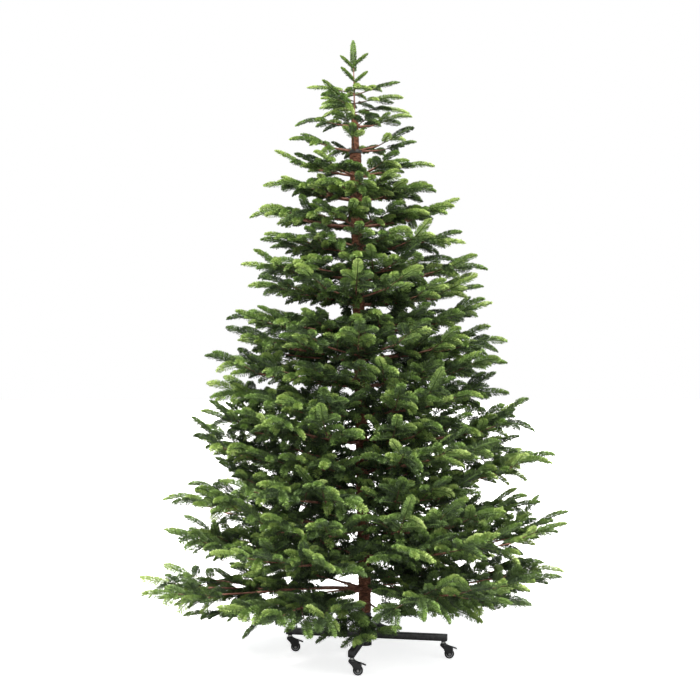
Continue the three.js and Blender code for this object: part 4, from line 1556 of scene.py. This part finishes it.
def pale_floor():
    """A floor that looks nearly white and takes a faint shadow, but throws little light back up."""
    corners = np.array(((-1, -1, 0), (1, -1, 0), (1, 1, 0), (-1, 1, 0))) * FLOOR_REACH
    floor = mesh_object("floor", corners, np.array(((0, 1, 2, 3),)))
    material, shader = new_material("pale_floor", FLOOR_COLOUR, 0.9)
    shader.inputs["Emission Color"].default_value = (1, 1, 1, 1)
    shader.inputs["Emission Strength"].default_value = FLOOR_GLOW
    w = Wiring(material.node_tree)
    dim = w.add("ShaderNodeBsdfDiffuse")
    dim.inputs["Color"].default_value = FLOOR_LIGHT_BACK
    shown_apart(w, shader, dim, material.node_tree.nodes["Material Output"].inputs["Surface"])
    put_on(floor, material)


# ---- What replaces the solids ----

def masses_by_tier():
    """The names of the solid masses of foliage that each tier's needles replace."""
    masses = {tier: [] for tier in range(len(TIERS))}
    for node in frame["nodes"]:
        if node.startswith("foliage_"):
            whorl = int(node.split("_")[1]) - 1
            masses[tier_of(whorl)].append(node)
        elif node == "leader":
            masses[2].append(node)
    return masses


def dress_needles(growth):
    masses = masses_by_tier()
    for piece, tier, tone in build_needles(growth):
        put_on(piece, NEEDLE_MATERIALS[tone])
        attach(piece, "tree")
        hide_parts(*masses[tier])


def dress_wood(growth):
    """Boughs, twigs and shoot stems, each kind joined by tier."""
    finishes = {"boughs": (BOUGH_BARK, 0.14), "twigs": (TWIG_BARK, 0.08), "stems": (SHOOT_STEM, 0.0)}
    for tier in range(len(TIERS)):
        sets = {
            "boughs": [tube[2:] for tube in growth.tubes if tube[:2] == ("bough", tier)],
            "twigs": [tube[2:] for tube in growth.tubes if tube[:2] == ("twig", tier)],
            "stems": stem_tubes(growth, tier),
        }
        for kind, tubes in sets.items():
            material, relief = finishes[kind]
            piece = joined_tubes(f"{kind}_{TIERS[tier]}", tubes, relief)
            put_on(piece, material)
            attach(piece, "tree")
            if kind == "boughs" and tier == 0:
                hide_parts(*[n for n in frame["nodes"] if n.startswith("bough_")])


def dress_trunk():
    for piece, material, slot in (
        (lower_wrap(), WRAPPED_BARK, "wrapped_trunk"),
        (upper_wrap(), WRAPPED_BARK, "wrapped_trunk"),
        (bare_pole(), HARD_MATERIALS["black_painted_steel"], "black_steel"),
        (trunk_collar(), HARD_MATERIALS["dark_steel"], "black_steel"),
    ):
        put_on(piece, material)
        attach(piece, "tree")
        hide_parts("trunk")


def dress_stand():
    for piece, finish in (
        (stand_arms(), "black_painted_steel"),
        (stand_socket(), "black_painted_steel"),
        (stand_screw(), "black_moulded_plastic"),
    ):
        put_on(piece, HARD_MATERIALS[finish])
        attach(piece, "tree")
        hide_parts("stand_frame")


def dress_castor(swivel):
    number = int(swivel["child"].split("_")[1])
    at = Matrix.Translation((swivel["pos_m"][0], swivel["pos_m"][1], 0))
    for make, part, body, finish in (
        (castor_stem, "stem", "castor", "plated_zinc"),
        (castor_housing, "housing", "castor", "black_moulded_plastic"),
        (castor_pedal, "pedal", "castor", "pedal_plastic"),
        (castor_axle, "axle", "castor", "plated_zinc"),
        (castor_tread, "tread", "wheel", "dark_rubber"),
        (castor_hub, "hub", "wheel", "grey_hub_plastic"),
    ):
        piece = make(at, f"castor_{part}_{number}")
        put_on(piece, HARD_MATERIALS[finish])
        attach(piece, f"{body}_{number}")
        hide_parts(f"castor_wheel_{number}" if body == "wheel" else f"castor_fork_{number}")


bpy.context.scene.view_settings.view_transform = "Standard"
look_from(CAMERA_PLACE, CAMERA_LENS)
light_studio()
pale_floor()

crown = grow_crown()
dress_needles(crown)
dress_wood(crown)
dress_trunk()
dress_stand()
for swivel in SWIVELS:
    dress_castor(swivel)
